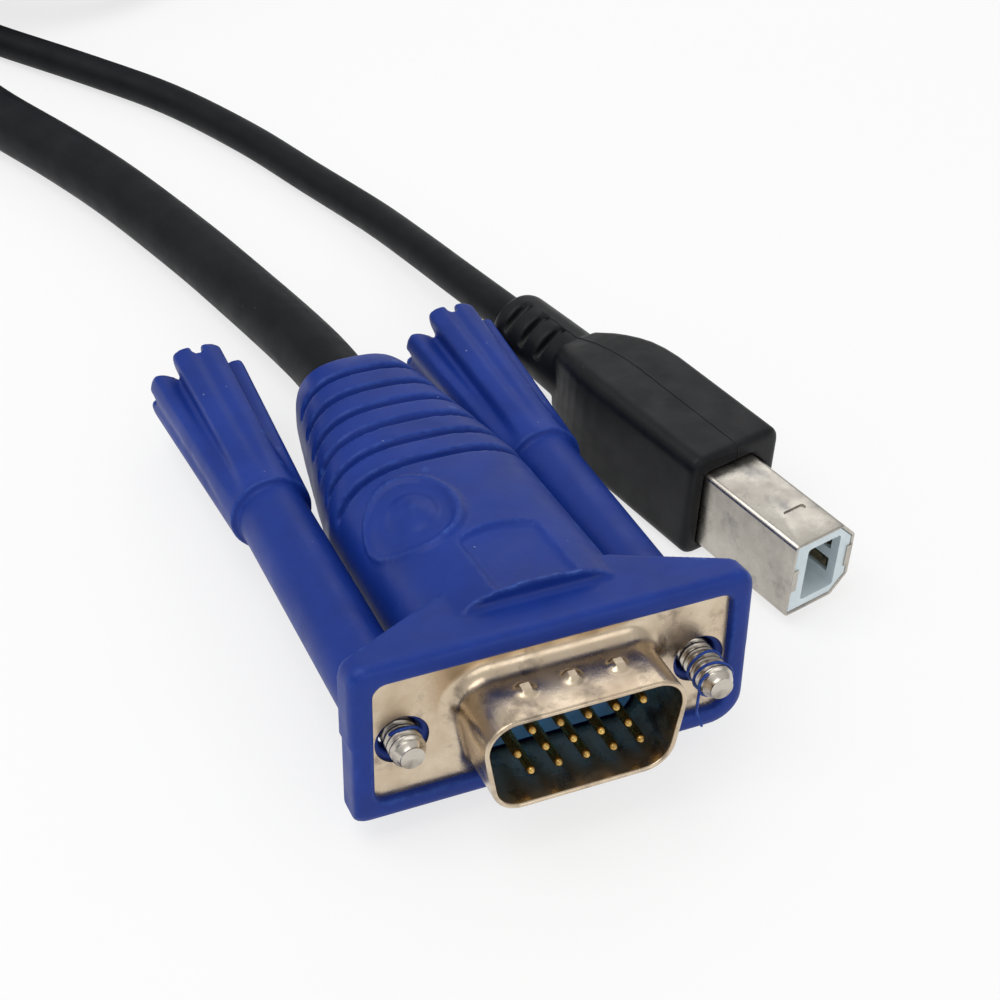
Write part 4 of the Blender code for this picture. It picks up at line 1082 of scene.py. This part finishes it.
def addSeam(ob, sizes):
    # the thin line left where the two halves of the mould met, down the front and along the top
    tree = BVHTree.FromObject(ob, bpy.context.evaluated_depsgraph_get())
    line = []
    for k in range(8):
        hit = tree.ray_cast(Vector((0, sizes["front"] - 5, sizes["top"] - 1.6 + 0.2 * k)), Vector((0, 1, 0)))
        line.append(hit[0])
    y = sizes["front"] + 0.5
    while y < sizes["back"] + 6:
        hit = tree.ray_cast(Vector((0, y, 20)), Vector((0, 0, -1)))
        line.append(hit[0] + Vector((0.02 * math.sin(3 * y), 0, 0)))
        y += 0.5
    add(ob, wire(line, 0.07, 1))


# Ties round the coils

band = {"thick": 0.8, "width": 4.0, "slack": 0.6, "corner": 1.9, "tailThick": 0.7, "tailLift": 0.45, "tailWave": 0.25}


def makeTieMesh():
    # a band round both coils, with its loose end lying over the top
    cord = cords["video"]
    pitch, outer = coilSize(cord)
    wide = outer - cord["inner"] + 2 * cord["radius"] + band["slack"]
    high = cord["base"] + 2 * cord["radius"] + pitch + cordLay["tieLift"] - band["thick"] + band["slack"] / 2
    thick, width = band["thick"], band["width"]
    outside = rectangle(wide + 2 * thick, high + 2 * thick, band["corner"] + thick, 8)
    inside = rectangle(wide, high, band["corner"], 8)
    ob = toObject(flatSheet([outside, inside], -width / 2, width / 2, 0.15), "tie")
    tail = []
    for k in range(25):
        t = k / 24
        tail.append((wide * (0.62 * t - 0.32), high / 2 + thick + band["tailLift"] + band["tailWave"] * math.sin(3.2 * t)))
    under = [(x, z - band["tailThick"]) for x, z in reversed(tail)]
    add(ob, flatSheet([tail + under], -width / 2 + 0.2, width / 2 - 0.2, 0.1))
    ob.data.transform(Matrix.Translation((0, 0, high / 2 + thick)))
    return finishMesh(ob, 40)


def tiePlace(angle):
    _, outer = coilSize(cords["video"])
    a = math.radians(angle)
    middle = (cords["video"]["inner"] + outer) / 2
    x, y = stack["centre"]
    spot = Vector((x + middle * math.cos(a), y + middle * math.sin(a), 0)) * mm
    return Matrix.Translation(spot) @ Matrix.Rotation(a, 4, "Z")


# Everything is made once and set down at its own plug

hoodMesh = makeHoodMesh()
print("hood", len(hoodMesh.polygons))
shellMesh = makeShellMesh()
print("shell", len(shellMesh.polygons))
coreMesh, pinsMesh, screwMesh = makeCoreMesh(), makePinsMesh(), makeScrewMesh()
gripMesh = makeGripMesh()
print("grip", len(gripMesh.polygons))


def setVideoPlug(prefix, place, pinNodes):
    made = [
        setDown(f"{prefix}_hood_skin", hoodMesh.copy(), place, "cable", bluePlastic, "blue_plastic",
                f"{prefix}_hood"),
        setDown(f"{prefix}_shell_skin", shellMesh.copy(), place, "cable", plateSteel, "nickel_plate",
                f"{prefix}_shell"),
        setDown(f"{prefix}_core", coreMesh.copy(), place, "cable", blueCore, "blue_insulator",
                f"{prefix}_insulator"),
        setDown(f"{prefix}_pins", pinsMesh.copy(), place, "cable", goldContact, "gold_contact", *pinNodes),
    ]
    for side, sign in (("left", -1), ("right", 1)):
        spot = place @ Matrix.Translation(Vector((sign * hood["spacing"] / 2, -screwOut[side], 0)) * mm)
        body = f"{prefix}_{side}_thumbscrew"
        made.append(setDown(f"{prefix}_{side}_handle", gripMesh.copy(), spot, body, bluePlastic, "blue_plastic",
                            f"{prefix}_{side}_grip"))
        made.append(setDown(f"{prefix}_{side}_thread", screwMesh.copy(), spot, body, screwSteel, "nickel_plate",
                            f"{prefix}_{side}_screw"))
    return made


setVideoPlug("vga", nearPlug, [f"vga_pin_{k:02d}" for k in range(1, 16)])
farPieces = setVideoPlug("far_vga", farPlug, [])
print("video plugs made")

squarePocket = flatSheet([squareOutline(0.06)], square["out"] - 1, square["buried"] + 0.2)
flatPocket = flatSheet([rectangle(flat["width"] + 0.1, flat["height"] + 0.1, 0.5)], flat["out"] - 1, flat["buried"] + 0.2)
setDown("usb_b_mould_skin", makeMouldMesh(squareMould, squarePocket, "squareMould"), usbB, "cable", blackMould,
        "black_cover", "usb_b_overmould")
setDown("usb_b_sleeve", makeSquareShellMesh(), usbB, "cable", usbSteel, "nickel_plate", "usb_b_shell")
setDown("usb_b_core", makeSquareCoreMesh(), usbB, "cable", whiteNylon, "white_insulator", "usb_b_insulator")
flatPieces = [
    setDown("usb_a_mould_skin", makeMouldMesh(flatMould, flatPocket, "flatMould"), usbA, "cable", blackMould,
            "black_cover", "usb_a_overmould"),
    setDown("usb_a_sleeve", makeFlatShellMesh(), usbA, "cable", usbSteel, "nickel_plate", "usb_a_shell"),
]
contacts = [f"usb_{kind}_contact_{k}" for kind in "ab" for k in range(1, 5)]
for name, finish in [("usb_a_tongue", whiteNylon), *((name, dullContact) for name in contacts)]:
    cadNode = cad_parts[name]
    cadNode.data.materials.clear()
    cadNode.data.materials.append(finish)
print("usb plugs made")

videoTie = setDown("video_strap", makeTieMesh(), tiePlace(stack["ties"]["video"]), "cable", tieBand, "tie_band",
                   "video_tie")
usbTie = setDown("usb_strap", makeTieMesh(), tiePlace(stack["ties"]["usb"]), "cable", tieBand, "tie_band",
                 "usb_tie")


# Shavings of blue plastic on the screws' threads

def makeShavings(side):
    strand = []
    if side == "right":
        for k in range(34):
            t = k / 33
            a = 2.2 + 2 * math.pi * 1.35 * t
            strand.append(Vector((1.52 * math.cos(a), 0.75 + 1.15 * t + 0.12 * math.sin(9 * t), 1.5 * math.sin(a))))
        loose = [Vector((-1.3, 1.2, -0.6)), Vector((-1.55, 0.9, -1.6)), Vector((-1.5, 0.95, -2.7)),
                 Vector((-1.2, 0.7, -3.6)), Vector((-1.05, 0.8, -4.1))]
        lines = [(strand, 0.13), (smoothLine(loose, 0.2), 0.12)]
        ring = [Vector((1.48 * math.cos(a), 2.9 + 0.1 * math.sin(2 * a), 1.48 * math.sin(a)))
                for a in [2 * math.pi * k / 30 for k in range(24)]]
        lines.append((ring, 0.12))
    else:
        curl = [Vector((1.5 * math.cos(a), 1.9 + 0.15 * math.sin(3 * a), 1.5 * math.sin(a)))
                for a in [0.2 + 2.2 * k / 20 for k in range(21)]]
        lines = [(curl, 0.14)]
    ob = toObject(wire(lines[0][0], lines[0][1], 1), "shavings")
    for line, thick in lines[1:]:
        add(ob, wire(line, thick, 1))
    return finishMesh(ob)


for side, sign in (("left", -1), ("right", 1)):
    spot = nearPlug @ Matrix.Translation(Vector((sign * hood["spacing"] / 2, -screwOut[side], 0)) * mm)
    setDown(f"vga_{side}_shavings", makeShavings(side), spot, f"vga_{side}_thumbscrew", bluePlastic, "blue_plastic")


# Floor, world and lamps

studio = {"floor": (0.93, 0.93, 0.93), "open": 0.72, "world": 0.6, "key": 1.5, "rim": 0.3, "fill": 0.4}


def makeFloor():
    bm = bmesh.new()
    bmesh.ops.create_grid(bm, x_segments=1, y_segments=1, size=4)
    mesh = bpy.data.meshes.new("floor")
    bm.to_mesh(mesh)
    bm.free()
    floor = bpy.data.objects.new("floor", mesh)
    floor.location = (0, 0, -0.00005)
    scene.collection.objects.link(floor)
    paper = bpy.data.materials.new("paper")
    paper.use_nodes = True
    tree = paper.node_tree
    tree.nodes.clear()
    out = node(tree, "ShaderNodeOutputMaterial")
    diffuse = node(tree, "ShaderNodeBsdfDiffuse")
    diffuse.inputs["Color"].default_value = (*studio["floor"], 1)
    glow = node(tree, "ShaderNodeEmission")
    mix = node(tree, "ShaderNodeMixShader")
    rays = node(tree, "ShaderNodeLightPath")
    seen = maths(tree, "MAXIMUM", rays.outputs["Is Camera Ray"], rays.outputs["Is Glossy Ray"])
    seen = maths(tree, "MAXIMUM", seen, rays.outputs["Is Transmission Ray"])
    tree.links.new(maths(tree, "MULTIPLY", seen, studio["open"]), mix.inputs["Fac"])
    tree.links.new(diffuse.outputs[0], mix.inputs[1])
    tree.links.new(glow.outputs[0], mix.inputs[2])
    tree.links.new(mix.outputs[0], out.inputs["Surface"])
    mesh.materials.append(paper)


def makeWorld():
    world = bpy.data.worlds.new("studio")
    world.use_nodes = True
    tree = world.node_tree
    sky = tree.nodes["Background"]
    rays = node(tree, "ShaderNodeLightPath")
    coords = node(tree, "ShaderNodeTexCoord")
    parts = node(tree, "ShaderNodeSeparateXYZ")
    tree.links.new(coords.outputs["Generated"], parts.inputs[0])
    dim = between(tree, parts.outputs["Z"], 0.05, 0.75, 0.4, 0.72)    # what gloss sees, darker towards the horizon
    level = maths(tree, "MULTIPLY", rays.outputs["Is Glossy Ray"], dim)
    level = maths(tree, "ADD", level, maths(tree, "MAXIMUM", rays.outputs["Is Camera Ray"],
                                            rays.outputs["Is Transmission Ray"]), True)
    seen = maths(tree, "MAXIMUM", rays.outputs["Is Camera Ray"], rays.outputs["Is Glossy Ray"])
    seen = maths(tree, "MAXIMUM", seen, rays.outputs["Is Transmission Ray"])
    lit = maths(tree, "MULTIPLY", maths(tree, "SUBTRACT", 1.0, seen), studio["world"])
    tree.links.new(maths(tree, "ADD", level, lit), sky.inputs["Strength"])
    sky.inputs["Color"].default_value = (1, 1, 1, 1)
    scene.world = world


def makeLamp(name, place, target, size, power):
    data = bpy.data.lights.new(name, "AREA")
    data.shape = "RECTANGLE"
    data.size, data.size_y = size
    data.energy = power
    lamp = bpy.data.objects.new(name, data)
    scene.collection.objects.link(lamp)
    lamp.location = place
    lamp.rotation_mode = "QUATERNION"
    lamp.rotation_quaternion = (Vector(target) - Vector(place)).to_track_quat("-Z", "Y")


makeFloor()
makeWorld()
makeLamp("key", (-0.25, 0.05, 0.55), (0.0, 0.02, 0.0), (0.45, 0.45), studio["key"])
makeLamp("rim", (0.3, 0.45, 0.4), (0.0, 0.05, 0.0), (0.3, 0.3), studio["rim"])
makeLamp("fill", (0.1, -0.5, 0.25), (0.0, 0.0, 0.0), (0.4, 0.25), studio["fill"])
scene.view_settings.view_transform = "Standard"
print("studio lit")
